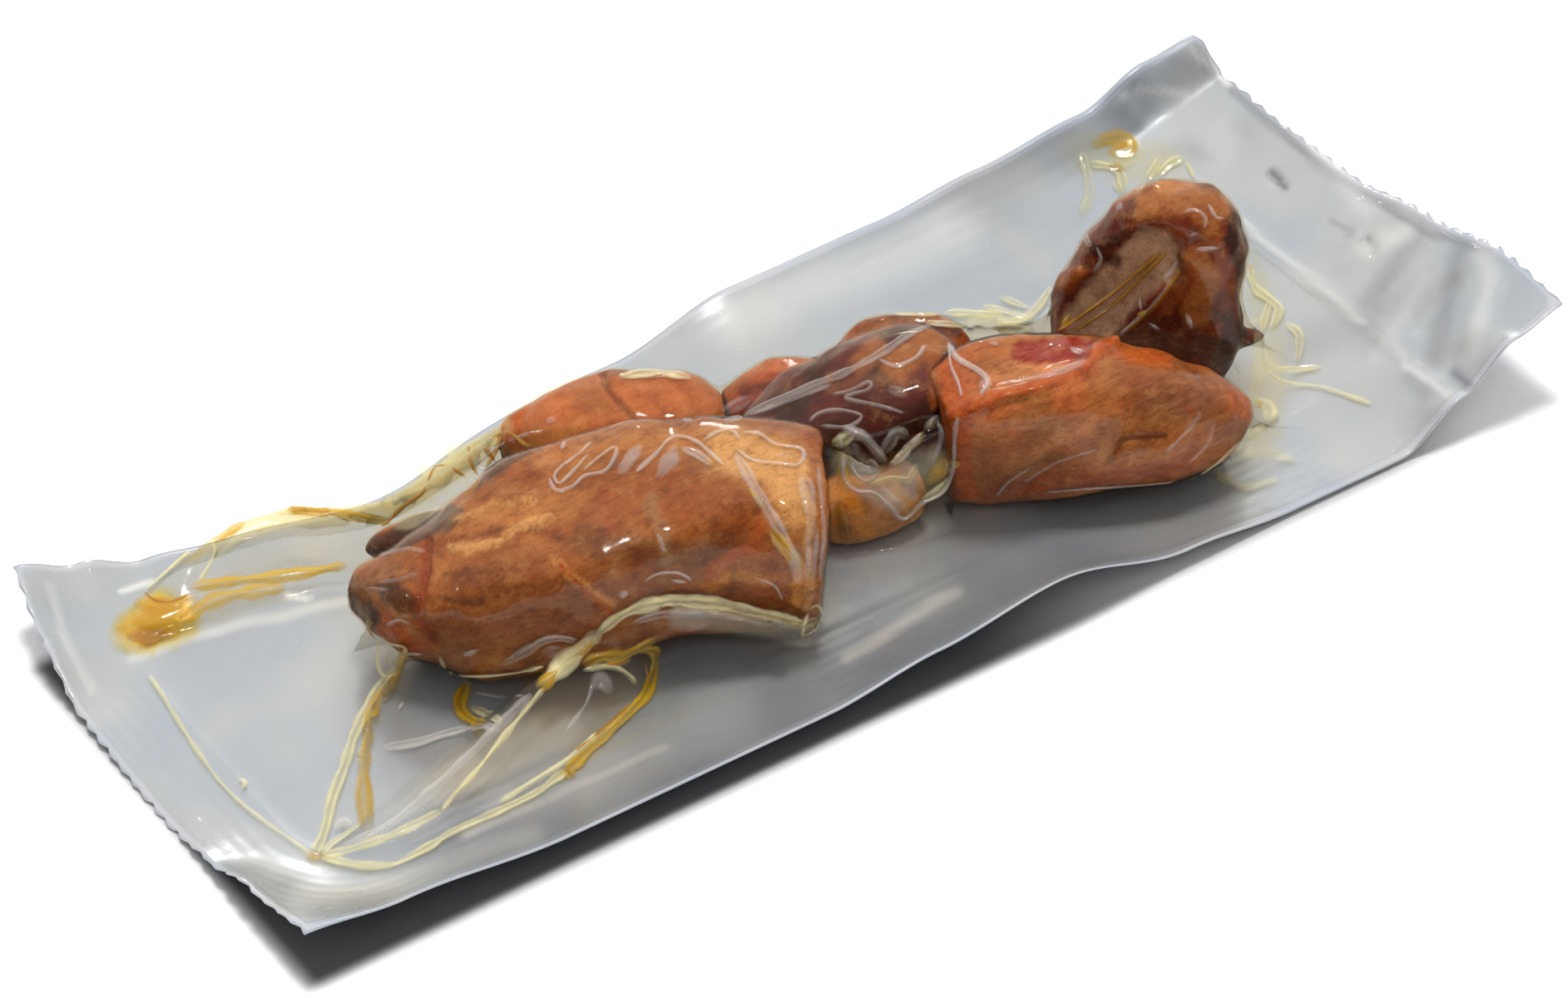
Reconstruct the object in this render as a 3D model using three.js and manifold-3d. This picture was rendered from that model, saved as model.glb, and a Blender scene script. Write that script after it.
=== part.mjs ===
// A ham bites pack: eight pieces of cooked ham, shrunk under a clear film on a curled silver
// backing web. Millimetres, Z up. X runs along the pack, from its left end to its raised right
// end, and Y across it to the back edge. The origin is the middle of the footprint, on the table.

import * as THREE from "three";
import { mergeVertices } from "three/addons/utils/BufferGeometryUtils.js";
import Module from "manifold-3d";

const wasm = await Module();
wasm.setup();

// The pack
const PACK_LENGTH = 256;
const PACK_WIDTH = 100;
const HALF_LENGTH = PACK_LENGTH / 2;
const HALF_WIDTH = PACK_WIDTH / 2;
const WEB_THICKNESS = 0.4;
const FILM_THICKNESS = 0.4;
const FILM_INSET = 1.4; // from the web's edges to the film's
const GAP = 0.3; // clearance between touching pieces
const SKIN = 0.8; // film with its juice, over the ham
const TEETH = 26; // along each short end
const TOOTH_DEPTH = 0.8;
const SHEET_COLUMNS = 22;
const SHEET_ROWS = 10;
const CROWDING = 0.16; // how far the sheet's grid moves out to the curled edges
const DEEP = 60; // how far a cutting solid goes past what it cuts

// How high each edge of the web curls off the table: [distance along the edge, height].
const FRONT_CURL = [[-128, 10], [-110, 7.6], [-80, 4.5], [-30, 4.4], [-8, 7], [17, 10], [45, 3.2],
  [68, 0.8], [93, 0.6], [106, 8.6], [117, 16.4], [128, 19.4]];
const BACK_CURL = [[-128, 12.2], [-116, 7.4], [-104, 2.6], [-90, 0.6], [-40, 0.8], [-7, 2.3],
  [20, 8.6], [52, 9.5], [76, 12], [100, 14.8], [116, 20.8], [128, 22.4]];
const LEFT_CURL = [[-50, 10], [-33, 7], [-20, 2.4], [-8, 0.2], [22, 1.2], [36, 7.4], [50, 12.2]];
const RIGHT_CURL = [[-50, 19.4], [-34, 21], [-14, 17], [6, 13.6], [26, 14], [42, 15.8], [50, 22.4]];
// How far in from each edge its curl dies away.
const FRONT_FADE = 22;
const BACK_FADE = 26;
const LEFT_FADE = 20;
const RIGHT_FADE = 52;
// Each short end bows out between its corners, and its back corner is nipped in by its curl.
const END_BOW = 0.9;
const LEFT_NIP = { by: 3.3, sharpness: 8 };
const RIGHT_NIP = { by: 2.6, sharpness: 20 };
// The shrunk film draws the back edge in here.
const DRAWN_IN = 7;
const DRAWN_IN_AT = -61;
const DRAWN_IN_REACH = 20;

// Ham pieces. Each follows a spine, with a [width, height, roll in degrees, squareness] section
// at each of its points. ends gives the size of its two end faces, as a share of the sections
// there. side turns an upright piece: the direction of its width, in degrees from X. hollow sinks
// one side in: at an angle round the section, over a spread, by a share of the section's size.
const HAM = [
  { name: "ham_front_left", colour: 0xa9683c, around: 18, rings: 15, lump: 0.8, seed: 1,
    ends: [0.75, 0.94],
    spine: [[-81, 14, 12], [-74, 5.5, 12.5], [-65.5, 0, 13.8], [-52, -3, 14.8], [-36.5, -6.5, 15.6],
      [-23.5, -13, 16], [-11.5, -20.5, 14.8]],
    sections: [[9, 8, 0, 2.4], [20, 19, 0, 2.4], [30, 27.5, 0, 2.5], [35, 29.5, 0, 2.7], [35, 30.5, 0, 2.8],
      [34, 31.5, 0, 3], [31, 29.5, 0, 4]] },
  { name: "ham_front_right", colour: 0xb9673c, around: 16, rings: 13, lump: 0.7, seed: 2,
    ends: [0.92, 0.7],
    spine: [[20.5, -11.5, 14], [30, -14.5, 15], [42, -20, 14.5], [54, -27, 12.5], [64, -31, 11],
      [71, -33.5, 10.5]],
    sections: [[17, 25, 12, 4], [22, 27, 8, 3.4], [25, 26, -10, 3], [24, 22, -18, 2.8], [17, 17, -10, 2.6],
      [6, 7, 0, 2.4]] },
  { name: "ham_far_right", colour: 0x8c4a2c, around: 16, rings: 12, lump: 1.1, seed: 3,
    ends: [0.85, 0.75], side: -42,
    hollow: { angle: 105, spread: 38, depth: 0.5, from: 0.12, to: 0.82 },
    spine: [[70.5, -4.5, 0], [71, -4.5, 12], [73, -4.5, 24], [76, -5, 33], [78, -5, 38.5]],
    sections: [[33, 16, 0, 2.6], [34, 17, 0, 2.6], [31, 17, 0, 2.6], [24, 15, 0, 2.5], [15, 10, 0, 2.4]] },
  { name: "ham_foot", colour: 0xb4743c, around: 12, rings: 9, lump: 0.7, seed: 5, ends: [0.8, 0.8],
    spine: [[-3, -8, 6], [6, -11, 6], [15, -12.5, 6.5]],
    sections: [[11, 11, 0, 2.4], [13, 12, 0, 2.4], [10, 11, 0, 2.4]] },
  { name: "ham_middle", colour: 0x5a2622, around: 14, rings: 11, lump: 0.9, seed: 4, ends: [0.75, 0.8],
    spine: [[-9, 5, 12], [4, 3, 13], [15, 0, 14.5], [25, -3, 14.5], [31, -4, 14]],
    sections: [[14, 14, 0, 2.4], [22, 20, 0, 2.4], [25, 24, 0, 2.4], [23, 26, 0, 2.4], [14, 18, 0, 2.4]] },
  { name: "ham_back_left", colour: 0xb06236, around: 14, rings: 10, lump: 0.7, seed: 6, ends: [0.75, 0.8],
    spine: [[-38, 36, 8], [-30, 31, 9], [-20, 27, 9.5], [-10, 22, 9], [-4, 19, 8.5]],
    sections: [[8, 8, 0, 2.3], [17, 15, 0, 2.3], [20, 17.5, 0, 2.3], [19, 16, 0, 2.3], [13, 13, 0, 2.3]] },
  { name: "ham_back_middle", colour: 0xb4532e, around: 12, rings: 9, lump: 0.7, seed: 7, ends: [0.8, 0.8],
    spine: [[-3, 19, 8.5], [6, 15, 9], [13, 11, 9], [19, 10, 8.5]],
    sections: [[12, 13, 0, 2.3], [17, 17, 0, 2.3], [16, 17, 0, 2.3], [11, 13, 0, 2.3]] },
  { name: "ham_back_right", colour: 0x8d4a28, around: 12, rings: 9, lump: 0.8, seed: 8, ends: [0.8, 0.8],
    spine: [[18, 12.5, 10.5], [24, 10, 12], [30, 6, 12], [36, 2.5, 10.5]],
    sections: [[12, 15, 0, 2.4], [16, 22, 0, 2.4], [16, 22, 0, 2.4], [11, 18, 0, 2.4]] },
];

// Film standing off the ham: a ridge line [x, y, z], and its feet [x, y] at the back and front.
const TENTS = {
  backTunnel: {
    ridge: [[-112, 36, 2], [-103, 39, 5], [-92, 41, 8], [-79, 39.5, 10], [-72, 33, 12], [-62, 27, 15],
      [-50, 27, 18], [-41, 30, 18]],
    back: [[-113, 40], [-104, 44], [-93, 45], [-79, 43], [-71, 39], [-61, 37], [-50, 39], [-41, 41]],
    front: [[-112, 33], [-104, 30], [-92, 29], [-80, 27], [-73, 24], [-62, 18], [-52, 12], [-43, 16]] },
  tipFin: {
    ridge: [[-81, 10, 9], [-80, 2, 6], [-89, -5.5, 4.5], [-100.5, -16.5, 3.5], [-112, -27, 1.6]],
    back: [[-77, 9], [-76, 3], [-86, -2.5], [-97, -13.5], [-110, -26]],
    front: [[-85, 11], [-84, 1], [-92, -7], [-103, -18], [-113, -28]] },
  frontFin: {
    ridge: [[-111, -29, 2], [-98, -27.5, 4], [-87, -25.5, 6], [-77, -22.5, 7.5], [-67, -19, 9.5],
      [-57.5, -19.5, 12], [-49.5, -22, 15.5], [-45, -24.8, 17.5], [-39, -28.6, 17.5],
      [-33.5, -32.3, 16], [-27, -34.6, 12], [-20.5, -34.4, 8]],
    back: [[-110, -26], [-96, -21], [-82, -16], [-71, -13], [-62, -11], [-54, -10], [-46, -11],
      [-41, -13], [-35, -17], [-30, -20], [-23, -25], [-17, -28]],
    front: [[-112, -31], [-101, -36], [-91, -36.5], [-80, -36], [-68, -34], [-57.5, -30],
      [-49, -23.5], [-43.5, -19.5], [-36, -19], [-30, -23.5], [-24, -27.5], [-17.5, -30]] },
  middleCrumple: {
    ridge: [[-4, -10, 26], [1.5, -13, 20], [5.7, -15, 17], [10.5, -16, 21], [18, -17, 25]],
    back: [[-2, -3], [4, -5], [8, -6], [13, -7], [20, -8]],
    front: [[-4, -14], [0, -15.5], [5, -18], [12, -19.5], [18, -20]] },
  backCurtain: {
    ridge: [[26, 9, 21], [36, 4.5, 22], [43.5, 2.7, 20], [52, 2, 18], [58, 3, 20]],
    back: [[28, 16], [38, 12], [46, 11], [54, 11], [60, 12]],
    front: [[26, 4], [35, -1], [42, -5], [50, -9], [57, -8]] },
  rightSkirt: {
    ridge: [[80, -15, 30], [86, -17, 12], [94, -19, 2]],
    back: [[84, -4], [89, -8], [95, -15]],
    front: [[76, -26], [85, -27], [94, -24]] },
  farSkirt: {
    ridge: [[76, -1, 34], [82, 11, 15], [90, 24, 5]],
    back: [[66, 7], [72, 17], [84, 27]],
    front: [[86, -8], [91, 6], [96, 21]] },
  tipSkirt: {
    ridge: [[69, -33, 14], [76, -34, 6], [84, -35, 1.8]],
    back: [[72, -25], [79, -29], [85, -33]],
    front: [[64, -38], [75, -38], [84, -37]] },
};
const TENT_ROWS = 4;
const TENT_HOLLOW = 1.25; // above 1, the film sags between a ridge and its feet

const COLOURS = { web: 0xbfc4cc, film: 0xe6dfc4 };
const ROUGHNESS = { web: 0.3, film: 0.12, ham: 0.35 };
const FILM_OPACITY = 0.35;

// A line through [where, value] pairs, smooth between them.
function profile(pairs) {
  return (where) => {
    let i = 0;
    while (i < pairs.length - 2 && where > pairs[i + 1][0]) i += 1;
    const [x0, z0] = pairs[i];
    const [x1, z1] = pairs[i + 1];
    return THREE.MathUtils.lerp(z0, z1, THREE.MathUtils.smoothstep(where, x0, x1));
  };
}

const frontCurl = profile(FRONT_CURL);
const backCurl = profile(BACK_CURL);
const leftCurl = profile(LEFT_CURL);
const rightCurl = profile(RIGHT_CURL);

// 1 on an edge, falling to 0 at the given distance in from it.
function fade(distance, reach) {
  return THREE.MathUtils.clamp(1 - distance / reach, 0, 1) ** 2;
}

// Height of the web's underside: the four curled edges blended over a flat floor.
function webHeight(x, y) {
  const front = fade(y + HALF_WIDTH, FRONT_FADE);
  const back = fade(HALF_WIDTH - y, BACK_FADE);
  const left = fade(x + HALF_LENGTH, LEFT_FADE);
  const right = fade(HALF_LENGTH - x, RIGHT_FADE);
  const edges = front * frontCurl(x) + back * backCurl(x) + left * leftCurl(y) + right * rightCurl(y);
  const corners = front * left * frontCurl(-HALF_LENGTH) + front * right * frontCurl(HALF_LENGTH)
    + back * left * backCurl(-HALF_LENGTH) + back * right * backCurl(HALF_LENGTH);
  return Math.max(0, edges - corners);
}

// A closed geometry as a solid that can be joined and cut, and back.
function solid(geometry) {
  const bare = geometry.clone();
  bare.deleteAttribute("normal");
  bare.deleteAttribute("uv");
  const merged = mergeVertices(bare, 1e-4);
  return new wasm.Manifold(new wasm.Mesh({
    numProp: 3,
    vertProperties: new Float32Array(merged.attributes.position.array),
    triVerts: new Uint32Array(merged.index.array),
  }));
}

function geometryOf(body) {
  const mesh = body.getMesh();
  const geometry = new THREE.BufferGeometry();
  geometry.setAttribute("position", new THREE.BufferAttribute(new Float32Array(mesh.vertProperties), 3));
  geometry.setIndex(new THREE.BufferAttribute(new Uint32Array(mesh.triVerts), 1));
  geometry.computeVertexNormals();
  return geometry;
}

// The largest loose body of a solid.
function largest(body) {
  return body.decompose().reduce((best, next) => (next.volume() > best.volume() ? next : best));
}

// Moves a grid line out towards the edges, where the sheet bends most.
function crowded(where, half) {
  const t = where / half;
  return half * (t + CROWDING * Math.sin(Math.PI * t));
}

// Where the shrinking film draws a point of the web to, towards the front.
function drawnIn(x, y) {
  const pull = DRAWN_IN * Math.exp(-(((x - DRAWN_IN_AT) / DRAWN_IN_REACH) ** 2));
  return y > 0 ? y - pull * (y / HALF_WIDTH) ** 2 : y;
}

// Where the bow of the short ends and the curl of the back corners move a point of the web to.
function bowed(x, y) {
  const { by, sharpness } = x < 0 ? LEFT_NIP : RIGHT_NIP;
  const across = THREE.MathUtils.clamp((y + HALF_WIDTH) / PACK_WIDTH, 0, 1);
  const out = END_BOW * Math.sin(Math.PI * across) - by * across ** sharpness;
  return x * (1 + out / HALF_LENGTH);
}

// Everything under a surface that lies the given height above the web's underside.
function below(height) {
  const geometry = new THREE.BoxGeometry(PACK_LENGTH, PACK_WIDTH, 1, SHEET_COLUMNS, SHEET_ROWS, 1);
  const place = geometry.attributes.position;
  for (let i = 0; i < place.count; i += 1) {
    const x = crowded(place.getX(i), HALF_LENGTH);
    const y = crowded(place.getY(i), HALF_WIDTH);
    const z = place.getZ(i) > 0 ? webHeight(x, y) + height : -DEEP;
    place.setXYZ(i, bowed(x, y), drawnIn(x, y), z);
  }
  return solid(geometry);
}

const underFilm = below(WEB_THICKNESS + GAP);

// The short ends seen from above, cut in teeth: the right end has its corners between teeth, and
// the left end has them on teeth. The outline runs on past the long edges.
function toothedOutline() {
  const points = [];
  for (const end of [1, -1]) {
    for (let i = -3; i <= 2 * TEETH + 3; i += 1) {
      const y = end * HALF_WIDTH * (i / TEETH - 1);
      const onTooth = (i % 2 === 0) === (end < 0);
      points.push(new THREE.Vector2(bowed(end * HALF_LENGTH, y) - (onTooth ? 0 : end * TOOTH_DEPTH), y));
    }
  }
  return new THREE.Shape(points);
}

function upright(shape) {
  const geometry = new THREE.ExtrudeGeometry(shape, { depth: 2 * DEEP, bevelEnabled: false });
  geometry.translate(0, 0, -DEEP);
  return solid(geometry);
}

// The film lies inside the web's edges, and follows their bow and their drawn-in stretch.
function filmSheet() {
  const endX = HALF_LENGTH - FILM_INSET;
  const sideY = HALF_WIDTH - FILM_INSET;
  const points = [];
  for (let i = 0; i <= SHEET_ROWS; i += 1) points.push([endX, sideY * ((2 * i) / SHEET_ROWS - 1)]);
  for (let i = 1; i < SHEET_COLUMNS; i += 1) points.push([endX * (1 - (2 * i) / SHEET_COLUMNS), sideY]);
  for (let i = 0; i <= SHEET_ROWS; i += 1) points.push([-endX, sideY * (1 - (2 * i) / SHEET_ROWS)]);
  const shape = new THREE.Shape(points.map(([x, y]) => new THREE.Vector2(bowed(x, y), drawnIn(x, y))));
  return below(WEB_THICKNESS + GAP + FILM_THICKNESS).subtract(underFilm).intersect(upright(shape));
}

function backingWeb() {
  return below(WEB_THICKNESS).subtract(below(0)).intersect(upright(toothedOutline()));
}

// The sections along a piece, smooth between its stations.
function sectionAt(sections, t) {
  const place = t * (sections.length - 1);
  const i = Math.min(Math.floor(place), sections.length - 2);
  const blend = THREE.MathUtils.smoothstep(place - i, 0, 1);
  return sections[i].map((value, k) => THREE.MathUtils.lerp(value, sections[i + 1][k], blend));
}

// A rounded-box coordinate: the cos or sin of an angle, squared off.
function squared(value, squareness) {
  return Math.sign(value) * Math.abs(value) ** (2 / squareness);
}

// Smooth unevenness of a piece's surface.
function unevenness(point, amount, seed) {
  const along = Math.sin(0.31 * point.x + 1.7 * seed) * Math.cos(0.27 * point.y + seed);
  const up = Math.sin(0.36 * point.z + 0.22 * point.y + 2.3 * seed);
  return 0.5 * amount * (along + up);
}

// What is left of a section's size where a piece is hollow, at an angle and a place along it.
function hollowShare(piece, angle, t) {
  if (!piece.hollow) return 1;
  const { angle: middle, spread, depth, from, to } = piece.hollow;
  const off = (THREE.MathUtils.radToDeg(angle) - middle) / spread;
  const along = Math.sin(Math.PI * THREE.MathUtils.clamp((t - from) / (to - from), 0, 1));
  return 1 - depth * along * Math.exp(-off * off);
}

// The width and height directions of a piece's section, across its spine.
function sectionFrame(piece, tangent, roll) {
  const side = new THREE.Vector3();
  if (piece.side === undefined) {
    side.crossVectors(tangent, new THREE.Vector3(0, 0, 1)).normalize();
  } else {
    const heading = THREE.MathUtils.degToRad(piece.side);
    side.set(Math.cos(heading), Math.sin(heading), 0);
  }
  const rise = new THREE.Vector3().crossVectors(side, tangent).normalize();
  const turn = THREE.MathUtils.degToRad(roll);
  return [side.applyAxisAngle(tangent, turn), rise.applyAxisAngle(tangent, turn)];
}

// One ham piece, grown outwards by the given amount: a ball drawn out along the piece's spine.
function hamPiece(piece, growth) {
  const spine = new THREE.CatmullRomCurve3(piece.spine.map((p) => new THREE.Vector3(...p)));
  const geometry = new THREE.SphereGeometry(1, piece.around, piece.rings);
  const place = geometry.attributes.position;
  for (let i = 0; i < place.count; i += 1) {
    const ring = Math.floor(i / (piece.around + 1));
    const angle = 2 * Math.PI * ((i % (piece.around + 1)) % piece.around) / piece.around;
    const t = THREE.MathUtils.clamp((ring - 1) / (piece.rings - 2), 0, 1);
    const [width, height, roll, squareness] = sectionAt(piece.sections, t);
    const tangent = spine.getTangent(t);
    const [side, rise] = sectionFrame(piece, tangent, roll);
    const end = ring <= 1 ? 0 : 1;
    const atEnd = ring <= 1 || ring >= piece.rings - 1;
    const atPole = ring === 0 || ring === piece.rings;
    const share = (atPole ? 0 : (atEnd ? piece.ends[end] : 1)) * hollowShare(piece, angle, t);
    const outward = new THREE.Vector3()
      .addScaledVector(side, share * (width / 2) * squared(Math.cos(angle), squareness))
      .addScaledVector(rise, share * (height / 2) * squared(Math.sin(angle), squareness));
    const point = spine.getPoint(t).add(outward);
    if (!atPole) {
      const swell = unevenness(point, piece.lump, piece.seed) * share;
      point.addScaledVector(outward.normalize(), swell + growth);
    }
    if (atEnd) point.addScaledVector(tangent, (end * 2 - 1) * growth);
    place.setXYZ(i, ...point.toArray());
  }
  return solid(geometry);
}

// Film drawn up into a ridge above the web.
function tent({ ridge, back, front }) {
  const geometry = new THREE.BoxGeometry(1, 1, 1, ridge.length - 1, TENT_ROWS, 1);
  const place = geometry.attributes.position;
  for (let i = 0; i < place.count; i += 1) {
    const station = Math.round((place.getX(i) + 0.5) * (ridge.length - 1));
    const [x0, y0, z0] = ridge[station];
    const [x1, y1] = place.getY(i) > 0 ? back[station] : front[station];
    const across = place.getY(i) + 0.5;
    const out = Math.abs(place.getY(i)) * 2;
    if (place.getZ(i) > 0) {
      const x = THREE.MathUtils.lerp(x0, x1, out);
      const y = THREE.MathUtils.lerp(y0, y1, out);
      const floor = webHeight(x, y) + WEB_THICKNESS + GAP;
      const rise = Math.max(0, z0 - floor) * (1 - out) ** TENT_HOLLOW;
      place.setXYZ(i, x, y, floor + FILM_THICKNESS / 2 + rise);
    } else {
      const x = THREE.MathUtils.lerp(front[station][0], back[station][0], across);
      const y = THREE.MathUtils.lerp(front[station][1], back[station][1], across);
      place.setXYZ(i, x, y, -GAP);
    }
  }
  return solid(geometry);
}

const pack = new THREE.Group();

function addPiece(name, body, colour, roughness, opacity = 1) {
  const material = new THREE.MeshStandardMaterial({
    color: colour, roughness, metalness: 0, transparent: opacity < 1, opacity,
  });
  const mesh = new THREE.Mesh(geometryOf(body), material);
  mesh.name = name;
  pack.add(mesh);
}

addPiece("backing_web", backingWeb(), COLOURS.web, ROUGHNESS.web);

// Each piece of ham is cut back by the web and by the pieces before it.
const pockets = [];
for (const piece of HAM) {
  const body = pockets.reduce((rest, pocket) => rest.subtract(pocket), hamPiece(piece, 0));
  addPiece(piece.name, largest(body.subtract(underFilm)), piece.colour, ROUGHNESS.ham);
  pockets.push(hamPiece(piece, GAP));
}

// The film: a sheet on the web, drawn up over the ham and into its tents, hollow where the ham is.
const skins = HAM.map((piece) => hamPiece(piece, GAP + SKIN));
const raised = [...skins, ...Object.values(TENTS).map(tent)].reduce((sum, next) => sum.add(next));
const shrunk = filmSheet().add(raised.subtract(underFilm));
const film = pockets.reduce((rest, pocket) => rest.subtract(pocket), shrunk);
addPiece("clear_film", largest(film), COLOURS.film, ROUGHNESS.film, FILM_OPACITY);

export default pack;
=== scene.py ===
"""Looks of the ham bites pack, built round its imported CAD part.

Sizes are millimetres unless a name says pixels, and pixels are those of a frame 1885 by 1200.
Meshes are made in metres in the part's own frame: +X along the pack to its raised end, +Y across
it to the back edge, +Z up.
"""

import logging
import math
from dataclasses import dataclass, field
from enum import Enum
from typing import Any, Iterable, Sequence

import bmesh
import bpy
import numpy as np
from mathutils import Euler, Matrix, Vector, noise
from mathutils.bvhtree import BVHTree


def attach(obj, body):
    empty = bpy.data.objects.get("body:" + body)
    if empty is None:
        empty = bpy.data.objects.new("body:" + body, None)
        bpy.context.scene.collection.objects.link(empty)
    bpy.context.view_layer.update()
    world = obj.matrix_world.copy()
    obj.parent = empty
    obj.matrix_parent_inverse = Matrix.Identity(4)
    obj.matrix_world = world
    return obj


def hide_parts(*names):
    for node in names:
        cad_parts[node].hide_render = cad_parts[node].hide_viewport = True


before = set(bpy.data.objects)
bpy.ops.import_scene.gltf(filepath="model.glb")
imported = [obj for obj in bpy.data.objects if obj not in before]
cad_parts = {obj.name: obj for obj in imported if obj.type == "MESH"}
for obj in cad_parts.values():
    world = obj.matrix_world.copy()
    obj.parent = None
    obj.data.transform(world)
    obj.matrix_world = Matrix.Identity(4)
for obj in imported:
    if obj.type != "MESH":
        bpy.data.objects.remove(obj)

MM = 0.001
BODY = "root"
SEED = 7
LOG = logging.getLogger("ham_bites_pack")

Array = np.ndarray
Pixel = tuple[float, float]
Pairs = tuple[tuple[float, float], ...]


# ---------------------------------------------------------------- shapes shared with the CAD part


def smoothstep(t: Array) -> Array:
    """Returns 0 below 0, 1 above 1, and a smooth step between."""
    t = np.clip(t, 0.0, 1.0)
    return t * t * (3.0 - 2.0 * t)


def profile(pairs: Pairs, where: Array) -> Array:
    """Reads a line through (where, value) pairs, smooth between them.

    Args:
        pairs: the knots, in rising order.
        where: places to read it at.

    Returns:
        The value at each place.
    """
    knots = np.array(pairs)
    i = np.searchsorted(knots[1:-1, 0], where, side="left")
    x0, z0 = knots[i, 0], knots[i, 1]
    x1, z1 = knots[i + 1, 0], knots[i + 1, 1]
    return z0 + (z1 - z0) * smoothstep((where - x0) / (x1 - x0))


@dataclass(frozen=True)
class WebShape:
    """The web's underside: four curled edges blended over a flat floor."""

    half_length: float = 128.0
    half_width: float = 50.0
    front: Pairs = (
        (-128, 10), (-110, 7.6), (-80, 4.5), (-30, 4.4), (-8, 7), (17, 10), (45, 3.2),
        (68, 0.8), (93, 0.6), (106, 8.6), (117, 16.4), (128, 19.4),
    )
    back: Pairs = (
        (-128, 12.2), (-116, 7.4), (-104, 2.6), (-90, 0.6), (-40, 0.8), (-7, 2.3),
        (20, 8.6), (52, 9.5), (76, 12), (100, 14.8), (116, 20.8), (128, 22.4),
    )
    left: Pairs = ((-50, 10), (-33, 7), (-20, 2.4), (-8, 0.2), (22, 1.2), (36, 7.4), (50, 12.2))
    right: Pairs = ((-50, 19.4), (-34, 21), (-14, 17), (6, 13.6), (26, 14), (42, 15.8), (50, 22.4))
    front_fade: float = 22.0
    back_fade: float = 26.0
    left_fade: float = 20.0
    right_fade: float = 52.0
    drawn_in: float = 7.0
    drawn_in_at: float = -61.0
    drawn_in_reach: float = 20.0
    end_bow: float = 0.9
    left_nip: tuple[float, float] = (3.3, 8)
    right_nip: tuple[float, float] = (2.6, 20)

    def height(self, x: Array, y: Array) -> Array:
        """Returns how high the underside of each place of the flat web is raised."""
        front = np.clip(1 - (y + self.half_width) / self.front_fade, 0, 1) ** 2
        back = np.clip(1 - (self.half_width - y) / self.back_fade, 0, 1) ** 2
        left = np.clip(1 - (x + self.half_length) / self.left_fade, 0, 1) ** 2
        right = np.clip(1 - (self.half_length - x) / self.right_fade, 0, 1) ** 2
        edges = (
            front * profile(self.front, x) + back * profile(self.back, x)
            + left * profile(self.left, y) + right * profile(self.right, y)
        )
        corners = (
            front * left * self.front[0][1] + front * right * self.front[-1][1]
            + back * left * self.back[0][1] + back * right * self.back[-1][1]
        )
        return np.maximum(0.0, edges - corners)

    def shift(self, x: Array, y: Array) -> tuple[Array, Array]:
        """Returns how far bow, nips and the shrinking film move each flat place, along x and y."""
        across = np.clip((y + self.half_width) / (2 * self.half_width), 0, 1)
        by, sharpness = (np.where(x < 0, a, b) for a, b in zip(self.left_nip, self.right_nip))
        out = self.end_bow * np.sin(np.pi * across) - by * across**sharpness
        pull = self.drawn_in * np.exp(-(((x - self.drawn_in_at) / self.drawn_in_reach) ** 2))
        return x * out / self.half_length, np.where(y > 0, -pull * (y / self.half_width) ** 2, 0.0)

    def placed(self, x: Array, y: Array) -> tuple[Array, Array]:
        """Returns where in plan each place of the flat web lies."""
        along, across = self.shift(x, y)
        return x + along, y + across

    def flat(self, x: Array, y: Array) -> tuple[Array, Array]:
        """Returns the place of the flat web that lies at each place in plan."""
        flat_x, flat_y = x, y
        for _ in range(4):
            along, across = self.shift(flat_x, flat_y)
            flat_x, flat_y = x - along, y - across
        return flat_x, flat_y

    def underside(self, x: Array, y: Array) -> Array:
        """Returns how high the web's underside lies over each place in plan."""
        return self.height(*self.flat(x, y))


SHAPE = WebShape()


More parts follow.
